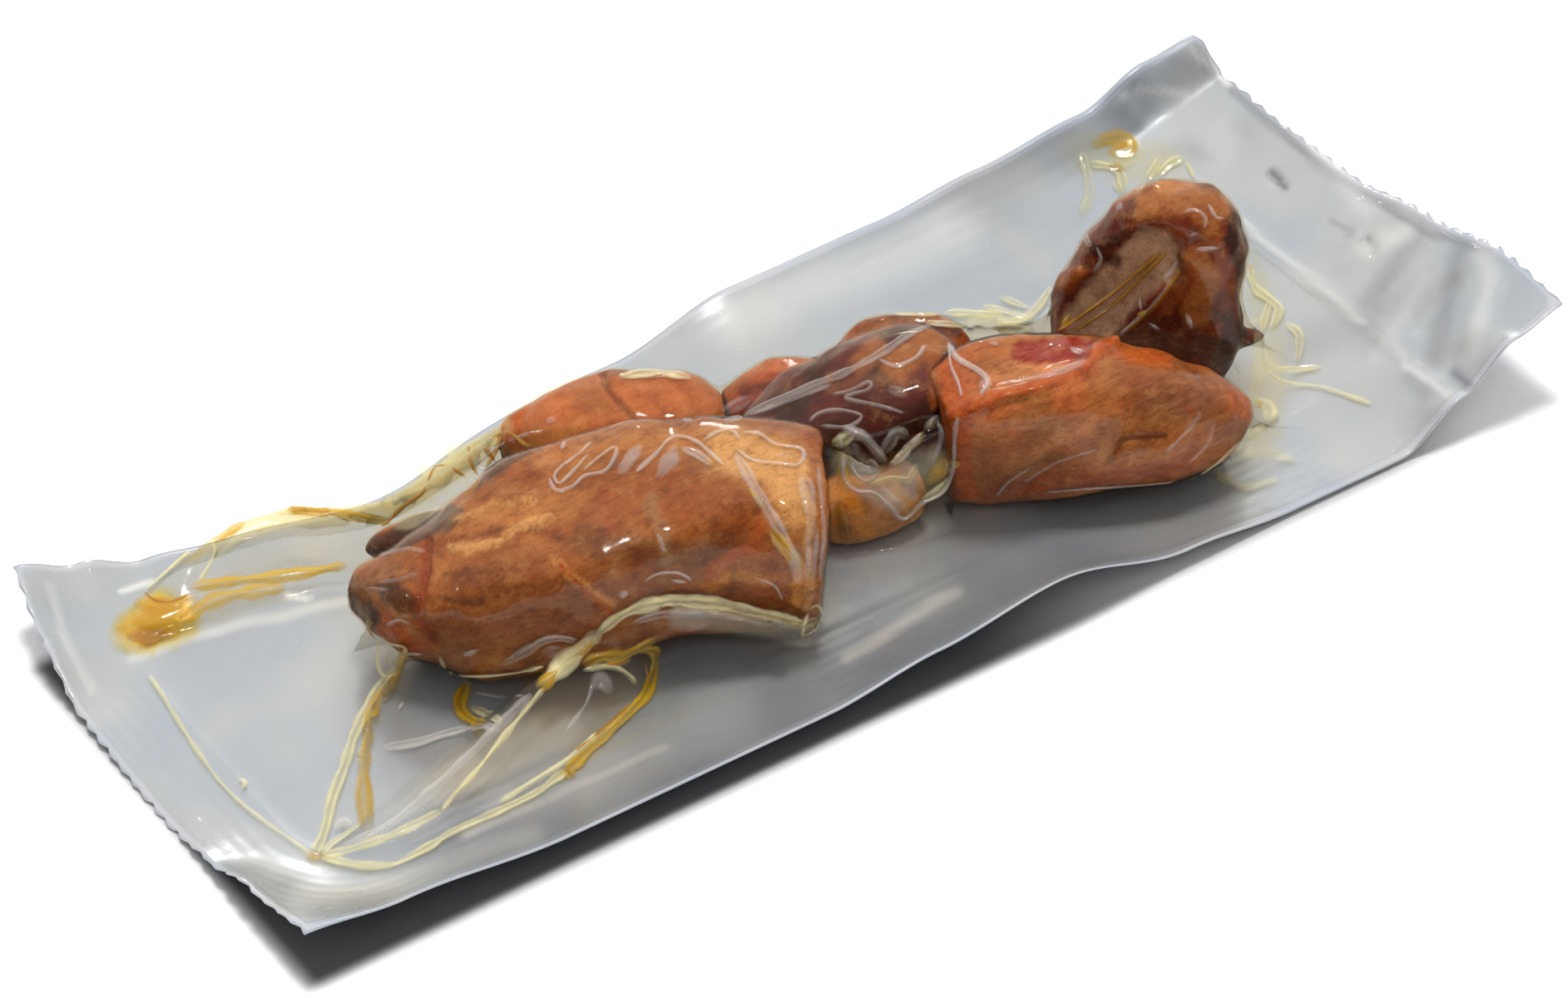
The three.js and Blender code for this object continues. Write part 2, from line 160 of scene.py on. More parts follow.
@dataclass(frozen=True)
class PhotoView:
    """The camera: the photo's viewing angle, fitted to the web's corners."""

    azimuth: float = -35.06
    elevation: float = 39.25
    distance: float = 790.7
    target: tuple[float, float, float] = (-1.27, 3.89, 0.0)
    focal_pixels: float = 5500.0
    width_pixels: float = 1885.0
    height_pixels: float = 1200.0
    sensor: float = 36.0

    def axes(self) -> Array:
        """Returns the camera's right, up and back directions as rows."""
        a, e = math.radians(self.azimuth), math.radians(self.elevation)
        right = np.array([math.cos(a), math.sin(a), 0.0])
        back = np.array([math.sin(a) * math.cos(e), -math.cos(a) * math.cos(e), math.sin(e)])
        return np.array([right, np.cross(back, right), back])

    def place(self) -> Array:
        """Returns where the camera stands."""
        return np.array(self.target) + self.axes()[2] * self.distance

    def pixels(self, points: Array) -> Array:
        """Returns the pixel that each point is seen at."""
        seen = (points - self.place()) @ self.axes().T
        across = self.width_pixels / 2 - self.focal_pixels * seen[:, 0] / seen[:, 2]
        down = self.height_pixels / 2 + self.focal_pixels * seen[:, 1] / seen[:, 2]
        return np.stack([across, down], axis=1)

    def direction(self, pixel: Pixel) -> Array:
        """Returns the way from the camera through a pixel."""
        right, up, back = self.axes()
        way = (
            right * (pixel[0] - self.width_pixels / 2)
            - up * (pixel[1] - self.height_pixels / 2)
            - back * self.focal_pixels
        )
        return way / np.linalg.norm(way)

    def on_web(self, pixel: Pixel) -> Array:
        """Returns the point of the web's top seen at a pixel."""
        way, place = self.direction(pixel), self.place()
        height = 0.0
        for _ in range(12):
            point = place + way * (height - place[2]) / way[2]
            height = 0.5 * height + 0.5 * float(
                SHAPE.underside(np.array([point[0]]), np.array([point[1]]))[0] + BackingWeb.thickness
            )
        return point

    def camera(self) -> bpy.types.Object:
        """Makes the camera and returns it."""
        data = bpy.data.cameras.new("camera")
        data.sensor_width = self.sensor
        data.lens = self.focal_pixels / self.width_pixels * self.sensor
        data.clip_start, data.clip_end = 0.01, 20.0
        made = bpy.data.objects.new("camera", data)
        made.location = Vector(self.place() * MM)
        made.rotation_euler = Matrix(self.axes().T).to_euler()
        bpy.context.scene.collection.objects.link(made)
        bpy.context.scene.camera = made
        return made


VIEW = PhotoView()


# ---------------------------------------------------------------------------------- mesh helpers


def places_of(mesh: bpy.types.Mesh) -> Array:
    """Returns a mesh's vertex places, in millimetres."""
    flat = np.empty(len(mesh.vertices) * 3, np.float32)
    mesh.vertices.foreach_get("co", flat)
    return flat.reshape(-1, 3).astype(float) / MM


def normals_of(mesh: bpy.types.Mesh) -> Array:
    """Returns a mesh's vertex normals."""
    flat = np.empty(len(mesh.vertices) * 3, np.float32)
    mesh.vertices.foreach_get("normal", flat)
    return flat.reshape(-1, 3).astype(float)


def move_to(mesh: bpy.types.Mesh, places: Array) -> None:
    """Moves a mesh's vertices to new places, in millimetres."""
    mesh.vertices.foreach_set("co", (places * MM).astype(np.float32).ravel())
    mesh.update()


def store(mesh: bpy.types.Mesh, name: str, values: Array) -> None:
    """Keeps a number or a colour for each vertex, as a named attribute."""
    if values.ndim == 1:
        mesh.attributes.new(name, "FLOAT", "POINT").data.foreach_set(
            "value", values.astype(np.float32)
        )
        return
    colours = np.ones((len(values), 4), np.float32)
    colours[:, :3] = values
    mesh.attributes.new(name, "FLOAT_COLOR", "POINT").data.foreach_set("color", colours.ravel())


def add_object(name: str, shape: bmesh.types.BMesh | bpy.types.Mesh) -> bpy.types.Object:
    """Adds an object at the origin.

    Args:
        name: the object's name.
        shape: its mesh, or a bmesh, which is freed.

    Returns:
        The object.
    """
    if isinstance(shape, bmesh.types.BMesh):
        mesh = bpy.data.meshes.new(name)
        shape.to_mesh(mesh)
        shape.free()
    else:
        mesh = shape
    made = bpy.data.objects.new(name, mesh)
    bpy.context.scene.collection.objects.link(made)
    return made


def apply_modifiers(made: bpy.types.Object) -> None:
    """Puts what an object's modifiers make into its mesh."""
    graph = bpy.context.evaluated_depsgraph_get()
    mesh = bpy.data.meshes.new_from_object(made.evaluated_get(graph))
    old = made.data
    made.modifiers.clear()
    made.data = mesh
    mesh.name = old.name
    bpy.data.meshes.remove(old)


def relax(mesh: bpy.types.Mesh, times: int, factor: float = 0.5) -> None:
    """Smooths a mesh in place."""
    work = bmesh.new()
    work.from_mesh(mesh)
    inner = [v for v in work.verts if not v.is_boundary]
    for _ in range(times):
        bmesh.ops.smooth_vert(
            work, verts=inner, factor=factor, use_axis_x=True, use_axis_y=True, use_axis_z=True
        )
    work.to_mesh(mesh)
    work.free()


def shade_smooth(mesh: bpy.types.Mesh) -> None:
    """Marks every face as smooth."""
    mesh.polygons.foreach_set("use_smooth", np.ones(len(mesh.polygons), bool))
    mesh.update()


def noise_at(places: Array, scale: float | Array, seed: float) -> Array:
    """Returns smooth noise from about -1 to 1 at each place.

    Args:
        places: points, in millimetres.
        scale: features per millimetre, one number or one for each axis.
        seed: shifts the pattern.
    """
    shift = Vector((seed * 13.7, seed * 7.3, seed * 3.1))
    return np.array([noise.noise(Vector(p) + shift) for p in places * scale])


def through(points: Sequence[Sequence[float]], step: float) -> Array:
    """Returns a smooth line through points, with a point at about every step."""
    knots = np.array(points, float)
    if len(knots) == 2:
        count = max(2, int(np.linalg.norm(knots[1] - knots[0]) / step) + 1)
        return knots[0] + np.linspace(0, 1, count)[:, None] * (knots[1] - knots[0])
    padded = np.vstack([2 * knots[0] - knots[1], knots, 2 * knots[-1] - knots[-2]])
    line = [knots[0]]
    for i in range(len(knots) - 1):
        p0, p1, p2, p3 = padded[i : i + 4]
        count = max(1, int(round(np.linalg.norm(p2 - p1) / step)))
        for t in np.linspace(0, 1, count + 1)[1:]:
            line.append(
                0.5 * (2 * p1 + (p2 - p0) * t + (2 * p0 - 5 * p1 + 4 * p2 - p3) * t**2
                       + (3 * p1 - p0 - 3 * p2 + p3) * t**3)
            )
    return np.array(line)


def distance_to_line(points: Array, line: Array) -> Array:
    """Returns each point's distance to a line through the given corners."""
    if len(line) == 1:
        return np.linalg.norm(points - line[0], axis=1)
    nearest = np.full(len(points), np.inf)
    for a, b in zip(line[:-1], line[1:]):
        along = b - a
        t = np.clip((points - a) @ along / max(along @ along, 1e-12), 0, 1)
        nearest = np.minimum(nearest, np.linalg.norm(points - a - t[:, None] * along, axis=1))
    return nearest


# ------------------------------------------------------------------------------------- materials


class Tone(Enum):
    """Colours of the pack, as display values from 0 to 255."""

    CARAMEL = (156, 98, 58)
    TAN = (190, 132, 88)
    BROWN = (122, 68, 36)
    DARK_BROWN = (84, 46, 30)
    PINK = (205, 140, 104)
    ORANGE = (180, 88, 38)
    ORANGE_PINK = (198, 112, 74)
    RUST = (140, 62, 32)
    BRICK = (150, 56, 50)
    MAROON = (56, 22, 22)
    PURPLE = (88, 60, 60)
    GREY_BROWN = (152, 118, 98)
    GOLD = (206, 140, 60)
    CREAM = (222, 178, 132)
    SALMON = (184, 106, 66)
    # grey of the far right piece's hollow: partly its flesh, partly painted sheen of the film stretched
    # over it
    HOLLOW_AND_SHEEN = (196, 168, 170)
    RED = (150, 44, 38)
    AMBER_BROWN = (146, 80, 36)
    WINE = (88, 28, 28)

    def linear(self) -> Array:
        """Returns the colour as scene-linear values."""
        share = np.array(self.value) / 255
        return np.where(share <= 0.04045, share / 12.92, ((share + 0.055) / 1.055) ** 2.4)


class Shader:
    """Builds one material's nodes."""

    def __init__(self, name: str) -> None:
        """Starts an empty material."""
        self.material = bpy.data.materials.new(name)
        self.material.use_nodes = True
        self.tree = self.material.node_tree
        self.tree.nodes.clear()

    def node(
        self, kind: str, inputs: dict[str | int, Any] | None = None, **settings: Any
    ) -> bpy.types.Node:
        """Adds a node.

        Args:
            kind: the node's type, without its ShaderNode prefix.
            inputs: a value or a socket to link, for each input by name or number.
            settings: the node's own settings.

        Returns:
            The node.
        """
        made = self.tree.nodes.new("ShaderNode" + kind)
        for key, value in settings.items():
            setattr(made, key, value)
        for key, value in (inputs or {}).items():
            if isinstance(value, bpy.types.NodeSocket):
                self.tree.links.new(value, made.inputs[key])
            else:
                made.inputs[key].default_value = value
        return made

    def places(self, scale: Sequence[float] = (1, 1, 1), turn: Sequence[float] = (0, 0, 0)) -> Any:
        """Returns Object coordinates, turned by degrees and then scaled."""
        where = self.node("TexCoord").outputs["Object"]
        mapping = self.node(
            "Mapping",
            {"Vector": where, "Scale": scale, "Rotation": [math.radians(d) for d in turn]},
            vector_type="POINT",
        )
        return mapping.outputs["Vector"]

    def noise(self, where: Any, scale: float, detail: float = 3.0, rough: float = 0.55) -> Any:
        """Returns noise from 0 to 1 at a scale of features per metre."""
        inputs = {"Vector": where, "Scale": scale, "Detail": detail, "Roughness": rough}
        return self.node("TexNoise", inputs).outputs["Fac"]

    def ramp(self, value: Any, low: float, high: float, start: float = 0, end: float = 1) -> Any:
        """Returns a value stretched from low..high to start..end."""
        inputs = {0: value, 1: low, 2: high, 3: start, 4: end}
        return self.node("MapRange", inputs, interpolation_type="SMOOTHSTEP").outputs[0]

    def maths(self, what: str, a: Any, b: Any = 0.0) -> Any:
        """Returns the result of a maths operation."""
        return self.node("Math", {0: a, 1: b}, operation=what).outputs[0]

    def blend(self, share: Any, a: Any, b: Any, how: str = "MIX") -> Any:
        """Returns two colours blended by a share."""
        made = self.node("Mix", data_type="RGBA", blend_type=how)
        colours = [socket for socket in made.inputs if socket.type == "RGBA"]
        for socket, value in ((made.inputs[0], share), (colours[0], a), (colours[1], b)):
            if isinstance(value, bpy.types.NodeSocket):
                self.tree.links.new(value, socket)
            else:
                socket.default_value = value
        return next(socket for socket in made.outputs if socket.type == "RGBA")

    def attribute(self, name: str, output: str = "Fac") -> Any:
        """Returns a mesh attribute's value."""
        return self.node("Attribute", attribute_name=name).outputs[output]

    def bump(self, height: Any, strength: float, distance: float, normal: Any = None) -> Any:
        """Returns a normal with bumps of the given depth in metres."""
        inputs = {"Strength": strength, "Distance": distance, "Height": height}
        if normal is not None:
            inputs["Normal"] = normal
        return self.node("Bump", inputs).outputs["Normal"]

    def surface(self, shader: Any) -> bpy.types.Material:
        """Ends the material with its surface and returns it."""
        self.node("OutputMaterial", {"Surface": shader})
        return self.material


@dataclass(frozen=True)
class WebFinish:
    """Satin silver laminate, pearly, with a faint grain and soft waviness, and with painted highlights and
    painted shade from the web's marks.
    """

    colour: tuple[float, float, float, float] = (0.5, 0.535, 0.595, 1)
    warm: tuple[float, float, float, float] = (0.6, 0.605, 0.61, 1)
    # the near-white colour is painted highlight and reflection; the dark colour below is painted shade and
    # dark reflection
    painted_highlight: tuple[float, float, float, float] = (0.99, 0.98, 0.96, 1)
    dark: tuple[float, float, float, float] = (0.2, 0.2, 0.23, 1)
    metal: float = 0.66
    roughness: float = 0.32
    waves: float = 0.0003
    lines: float = 0.00002

    def material(self) -> bpy.types.Material:
        """Returns the material."""
        s = Shader("silver_web")
        where = s.places()
        cloud = s.noise(where, 28, 2)
        colour = s.blend(s.ramp(cloud, 0.4, 0.65), self.colour, self.warm)
        # painted shade, then painted highlights, laid over the laminate's own colour
        colour = s.blend(s.attribute("painted_shade"), colour, self.dark)
        colour = s.blend(s.attribute("painted_highlight"), colour, self.painted_highlight)
        rough = s.ramp(s.noise(where, 60, 3), 0.3, 0.7, self.roughness - 0.06, self.roughness + 0.07)
        wave = s.bump(s.noise(where, 45, 2), 1.0, self.waves)
        rim = s.attribute("from_rim")
        line = s.maths("SINE", s.maths("MULTIPLY", rim, 2.4))
        inside = s.ramp(rim, -1.0, 0.5)
        drawn = s.maths("MULTIPLY", s.maths("MULTIPLY", line, inside), s.noise(where, 35, 1))
        lined = s.bump(drawn, 1.0, self.lines, wave)
        grain = s.bump(s.noise(where, 2600, 2), 0.25, 0.00003, lined)
        return s.surface(
            s.node(
                "BsdfPrincipled",
                {"Base Color": colour, "Metallic": self.metal, "Roughness": rough,
                 "Normal": grain},
            ).outputs[0]
        )


@dataclass(frozen=True)
class HamFinish:
    """Moist cooked ham: its painted tone, broken up by mottles and fibres."""

    name: str
    grain_turn: tuple[float, float, float] = (0, 0, 15)
    fibre: float = 0.5
    mottle: float = 0.55
    roughness: float = 0.36
    glaze: tuple[float, float, float, float] = (0.9, 0.83, 0.64, 1)

    def material(self) -> bpy.types.Material:
        """Returns the material."""
        s = Shader(self.name)
        tone = s.attribute("tone", "Color")
        where = s.places()
        stretched = s.places(scale=(0.16, 1, 1), turn=self.grain_turn)
        fibre = s.noise(stretched, 1500, 4, 0.6)
        cloud = s.noise(where, 260, 6, 0.66)
        fleck = s.noise(where, 1500, 3, 0.6)
        fine = s.ramp(s.noise(where, 3200, 2), 0.3, 0.7, 0.88, 1.12)
        dark = s.blend(1.0, tone, (0.42, 0.27, 0.2, 1), "MULTIPLY")
        light = s.blend(0.3, tone, (0.66, 0.42, 0.22, 1))
        colour = s.blend(s.maths("MULTIPLY", s.ramp(cloud, 0.49, 0.66), self.mottle), tone, dark)
        colour = s.blend(s.maths("MULTIPLY", s.ramp(cloud, 0.48, 0.34), 0.55), colour, light)
        colour = s.blend(s.maths("MULTIPLY", s.ramp(fibre, 0.5, 0.66), self.fibre), colour, dark)
        colour = s.blend(
            s.maths("MULTIPLY", s.ramp(fibre, 0.48, 0.34), self.fibre * 0.6), colour, light
        )
        colour = s.blend(s.maths("MULTIPLY", s.ramp(fleck, 0.62, 0.7), 0.5), colour, dark)
        colour = s.blend(1.0, colour, self.glaze, "MULTIPLY")
        colour = s.node("VectorMath", {0: colour, "Scale": fine}, operation="SCALE").outputs[0]
        rough = s.ramp(cloud, 0.3, 0.7, self.roughness - 0.08, self.roughness + 0.1)
        bumps = s.bump(fibre, 0.35, 0.00025)
        bumps = s.bump(cloud, 0.3, 0.0007, bumps)
        return s.surface(
            s.node(
                "BsdfPrincipled",
                {"Base Color": colour, "Roughness": rough, "Normal": bumps,
                 "Subsurface Weight": 0.12, "Subsurface Radius": (0.9, 0.42, 0.22),
                 "Subsurface Scale": 0.0025, "Specular IOR Level": 0.22},
            ).outputs[0]
        )


@dataclass(frozen=True)
class FilmFinish:
    """Clear glossy film, tinted where it holds juice, and milky with painted sheen in places."""

    name: str = "clear_film"
    clear: tuple[float, float, float, float] = (0.97, 0.97, 0.96, 1)
    moist: tuple[float, float, float, float] = (0.995, 0.965, 0.9, 1)
    juice: tuple[float, float, float, float] = (0.97, 0.84, 0.4, 1)
    # milky colour of the film, also serving as painted sheen
    haze_and_sheen: tuple[float, float, float, float] = (0.86, 0.82, 0.66, 1)
    deep: tuple[float, float, float, float] = (0.84, 0.6, 0.08, 1)
    roughness: float = 0.07
    milk: float = 0.0
    wrinkle: float = 0.00006
    crumple: float = 0.5
    shine: float = 0.016
    edge_shine: float = 0.25

    def material(self) -> bpy.types.Material:
        """Returns the material."""
        s = Shader(self.name)
        where = s.places()
        folded = s.node(
            "TexNoise", {"Vector": where, "Scale": 105, "Detail": 1.5, "Roughness": 0.5},
            noise_type="RIDGED_MULTIFRACTAL", normalize=False,
        ).outputs["Fac"]
        raised = s.maths("MULTIPLY", folded, s.attribute("raised"))
        wrinkles = s.bump(raised, self.crumple, 0.0006)
        wrinkles = s.bump(s.noise(where, 420, 2, 0.4), 0.6, self.wrinkle, wrinkles)
        juice = s.attribute("juice")
        patchy = s.maths("MULTIPLY", juice, s.ramp(s.noise(where, 420, 3), 0.25, 0.65, 0.6, 1.1))
        colour = s.blend(patchy, s.blend(s.attribute("raised"), self.clear, self.moist), self.juice)
        clear = s.node("BsdfTransparent", {"Color": colour}).outputs[0]
        tinted = s.blend(patchy, self.haze_and_sheen, self.deep)
        haze_and_sheen = s.node("BsdfDiffuse", {"Color": tinted, "Normal": wrinkles}).outputs[0]
        # milky film and painted sheen where the vertex attribute marks it
        cloudy = s.maths("ADD", s.maths("MULTIPLY", s.attribute("haze_and_sheen"), 0.5), self.milk)
        body = s.node("MixShader", {0: cloudy, 1: clear, 2: haze_and_sheen}).outputs[0]
        rough = s.ramp(s.noise(where, 90, 2), 0.3, 0.7, self.roughness * 0.6, self.roughness * 1.5)
        gloss = s.node("BsdfGlossy", {"Roughness": rough, "Normal": wrinkles}).outputs[0]
        edge = s.node("LayerWeight", {"Blend": 0.5, "Normal": wrinkles}).outputs["Facing"]
        shine = s.maths("POWER", edge, 4.0)
        share = s.ramp(shine, 0.0, 1.0, self.shine, self.edge_shine)
        return s.surface(s.node("MixShader", {0: share, 1: body, 2: gloss}).outputs[0])


# ----------------------------------------------------------------------------- marks by the photo


@dataclass(frozen=True)
class Mark:
    """A mark on a surface, drawn along a line of pixels as the camera sees it."""

    line: tuple[Pixel, ...]
    reach: float
    tone: Tone | None = None
    share: float = 1.0
    lift: float = 0.0
    soft: float = 0.6

    def weights(self, pixels: Array) -> Array:
        """Returns how strongly the mark covers each pixel, from 0 to 1."""
        away = distance_to_line(pixels, np.array(self.line, float))
        return smoothstep((self.reach - away) / (self.reach * self.soft))


class Sight:
    """What the camera sees of a mesh: its vertices' pixels, and which of them show."""

    def __init__(self, mesh: bpy.types.Mesh, ragged: float, seed: float) -> None:
        """Reads a mesh.

        Args:
            mesh: the mesh, in metres.
            ragged: how far marks' edges wander, in pixels.
            seed: shifts the wandering.
        """
        places, normals = places_of(mesh), normals_of(mesh)
        wander = np.array(
            [noise.noise_vector(Vector(p) * 0.16 + Vector((seed, 0, 0)))
             + 0.5 * noise.noise_vector(Vector(p) * 0.55 + Vector((0, seed, 0))) for p in places]
        )
        self.pixels = VIEW.pixels(places) + ragged * wander[:, :2]
        towards = VIEW.place() - places
        towards /= np.linalg.norm(towards, axis=1)[:, None]
        facing = (normals * towards).sum(axis=1)
        tree = tree_of(mesh)
        clear = np.array(
            [f > 0 and tree.ray_cast(Vector((p + 0.3 * t + 0.2 * n) * MM), Vector(t))[0] is None
             for p, n, t, f in zip(places, normals, towards, facing)],
            float,
        )
        self.shown = smoothstep(facing / 0.25) * clear


def tree_of(mesh: bpy.types.Mesh) -> BVHTree:
    """Returns a tree for casting rays at a mesh."""
    work = bmesh.new()
    work.from_mesh(mesh)
    tree = BVHTree.FromBMesh(work)
    work.free()
    return tree


def cast(tree: BVHTree, pixel: Pixel, lift: float = 0.0) -> Array | None:
    """Finds the point of a mesh seen at a pixel.

    Args:
        tree: the mesh's tree.
        pixel: where to look.
        lift: how far to move the point out along the surface's normal.

    Returns:
        The point in millimetres, or None where the mesh isn't there.
    """
    hit, normal, _, _ = tree.ray_cast(Vector(VIEW.place() * MM), Vector(VIEW.direction(pixel)))
    if hit is None:
        return None
    return np.array(hit) / MM + lift * np.array(normal)


# ------------------------------------------------------------------------------------ backing web


@dataclass(frozen=True)
class Buckle:
    """A ridge, or a dent where its height is negative, between two pixels of the web."""

    start: Pixel
    end: Pixel
    width: float
    height: float

    def relief(self, plan: Array) -> Array:
        """Returns how much it raises each place in plan."""
        a, b = VIEW.on_web(self.start)[:2], VIEW.on_web(self.end)[:2]
        along = b - a
        t = (plan - a) @ along / (along @ along)
        ends = smoothstep((t + 0.15) / 0.4) * smoothstep((1.15 - t) / 0.4)
        side = np.linalg.norm(plan - a - np.clip(t, -0.15, 1.15)[:, None] * along, axis=1)
        return self.height * ends * np.exp(-((side / self.width) ** 2))


@dataclass
class BackingWeb:
    """The silver web under everything: curled, buckled at its raised end, with toothed ends."""

    thickness: float = 0.35
    columns: int = 260
    rows: int = 156
    teeth: int = 26
    tooth_depth: float = 0.75
    pocket: tuple[float, float, float, float] = (-113.5, 108.0, -29.0, 35.0)
    pocket_round: float = 9.0
    pocket_step: float = 0.2
    buckles: tuple[Buckle, ...] = (
        Buckle((1700, 300), (1650, 420), 3.2, 1.3),
        Buckle((1755, 330), (1700, 400), 2.6, -1.1),
        Buckle((1800, 330), (1765, 420), 3.0, 1.3),
        Buckle((1660, 240), (1610, 330), 2.8, 0.9),
        Buckle((1640, 290), (1655, 305), 1.2, -0.9),
        Buckle((1524, 208), (1540, 218), 1.1, -0.9),
        Buckle((1440, 225), (1560, 325), 1.3, 0.6),
        Buckle((1560, 325), (1690, 430), 1.3, 0.6),
        Buckle((1690, 440), (1735, 470), 2.0, 0.8),
        Buckle((1460, 130), (1440, 190), 3.0, 0.5),
        Buckle((1500, 150), (1480, 230), 3.0, -0.5),
        Buckle((1345, 120), (1370, 150), 1.6, 0.6),
    )
    # painted highlights and reflections on the flanges, the buckles and the raised end
    painted_highlights: tuple[Mark, ...] = (
        Mark(((1712, 335), (1684, 385), (1655, 430)), 18, share=0.15, soft=1.0),
        Mark(((1784, 292), (1792, 335), (1770, 420)), 20, share=0.35, soft=1.0),
        Mark(((1645, 296), (1690, 280)), 20, share=0.4, soft=1.0),
        Mark(((360, 1085), (480, 1060), (640, 1000)), 26, share=0.45, soft=1.0),
        Mark(((1440, 222), (1560, 322), (1690, 430)), 7, share=0.45, soft=1.0),
        Mark(((1690, 440), (1740, 472)), 9, share=0.5, soft=1.0),
        Mark(((1590, 180), (1640, 250)), 24, share=0.35, soft=1.0),
        Mark(((1370, 108), (1425, 112)), 9, share=0.5, soft=1.0),
        Mark(((1435, 60), (1475, 100)), 9, share=0.7, soft=1.0),
        Mark(((560, 1002), (680, 950), (800, 898)), 13, share=0.75, soft=1.0),
        Mark(((1020, 792), (1090, 745), (1150, 712)), 14, share=0.8, soft=1.0),
        Mark(((160, 790), (230, 765), (420, 720)), 12, share=0.5, soft=1.0),
        Mark(((145, 710), (180, 700)), 6, share=0.9, soft=1.0),
        Mark(((880, 380), (960, 350), (1080, 305), (1150, 275)), 56, share=0.42, soft=1.0),
        Mark(((620, 965), (760, 905), (880, 850)), 60, share=0.35, soft=1.0),
        Mark(((60, 705), (75, 760), (110, 830)), 9, share=0.35, soft=1.0),
        Mark(((345, 715), (372, 720)), 7, share=0.8, soft=1.0),
    )
    # painted shade and dark reflections: in the dents, along the buckles and over the raised end, and a
    # faint band under the tip
    painted_shades: tuple[Mark, ...] = (
        Mark(((1526, 208), (1545, 225)), 8, share=0.9, soft=1.0),
        Mark(((1640, 288), (1652, 300)), 7, share=0.9, soft=1.0),
        Mark(((1600, 265), (1625, 280)), 7, share=0.4, soft=1.0),
        Mark(((1755, 300), (1740, 360), (1725, 430)), 24, share=0.4, soft=1.0),
        Mark(((1700, 290), (1672, 330), (1640, 370)), 24, share=0.35, soft=1.0),
        Mark(((1560, 420), (1640, 380), (1710, 350)), 44, share=0.25, soft=1.0),
        Mark(((1450, 80), (1600, 210), (1720, 280), (1790, 300)), 10, share=0.55, soft=1.0),
        Mark(((1750, 448), (1765, 462)), 12, share=0.8, soft=1.0),
        Mark(((430, 850), (500, 930), (560, 990)), 60, share=0.18, soft=1.0),
    )

    def notch(self, x: Array, y: Array) -> Array:
        """Returns how far in the toothed short ends are cut, at each place along them."""
        along = self.teeth * (y / SHAPE.half_width + 1)
        cut = np.abs((along + 1) % 2 - 1)
        uneven = 0.7 + 0.3 * np.sin(2.1 * along + np.sign(x)) * np.sin(0.53 * along)
        return self.tooth_depth * uneven * np.where(x < 0, cut, 1 - cut)

    def from_rim(self, x: Array, y: Array) -> Array:
        """Returns the distance outwards from the pocket's rounded outline."""
        left, right, front, back = self.pocket
        ax = np.abs(x - (left + right) / 2) - (right - left) / 2 + self.pocket_round
        ay = np.abs(y - (front + back) / 2) - (back - front) / 2 + self.pocket_round
        outside = np.hypot(np.maximum(ax, 0), np.maximum(ay, 0))
        return outside + np.minimum(np.maximum(ax, ay), 0) - self.pocket_round

    def relief(self, x: Array, y: Array) -> Array:
        """Returns the height of the pocket's step and of the buckles at each place."""
        plan = np.stack([x, y], axis=1)
        rim = self.from_rim(x, y)
        raised = self.pocket_step * (smoothstep((rim + 1.5) / 3.0) - 0.5 * smoothstep(rim / 9.0))
        return raised + sum(buckle.relief(plan) for buckle in self.buckles)

    def build(self) -> bpy.types.Object:
        """Makes the web from a grid."""
        work = bmesh.new()
        bmesh.ops.create_grid(work, x_segments=self.columns, y_segments=self.rows, size=1)
        made = add_object("silver_web", work)
        grid = places_of(made.data) * MM
        x, y = grid[:, 0] * SHAPE.half_length, grid[:, 1] * SHAPE.half_width
        x = np.where(np.abs(grid[:, 0]) > 0.9999, x - np.sign(x) * self.notch(x, y), x)
        place_x, place_y = SHAPE.placed(x, y)
        z = SHAPE.height(x, y) + self.relief(place_x, place_y) + self.thickness
        places = np.stack([place_x, place_y, z], axis=1)
        move_to(made.data, places)
        store(made.data, "from_rim", self.from_rim(place_x, place_y))
        wander = 3.0 * np.stack([noise_at(places, 0.15, 3), noise_at(places, 0.15, 4)], axis=1)
        pixels = VIEW.pixels(places) + wander
        # stores the painted highlights and the painted shade for each vertex
        for name, marks in (("painted_highlight", self.painted_highlights), ("painted_shade", self.painted_shades)):
            store(made.data, name, np.max([mark.share * mark.weights(pixels) for mark in marks], axis=0))
        shade_smooth(made.data)
        wall = made.modifiers.new("thickness", "SOLIDIFY")
        wall.thickness = self.thickness * MM
        wall.offset = -1
        made.data.materials.append(WebFinish().material())
        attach(made, BODY)
        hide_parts("backing_web")
        return made


WEB = BackingWeb()


# -------------------------------------------------------------------------------------------- ham


@dataclass(frozen=True)
class Lump:
    """A round lump on a piece of ham: its middle, its half sizes and its turn in degrees."""

    middle: tuple[float, float, float]
    radii: tuple[float, float, float]
    turn: tuple[float, float, float] = (0, 0, 0)


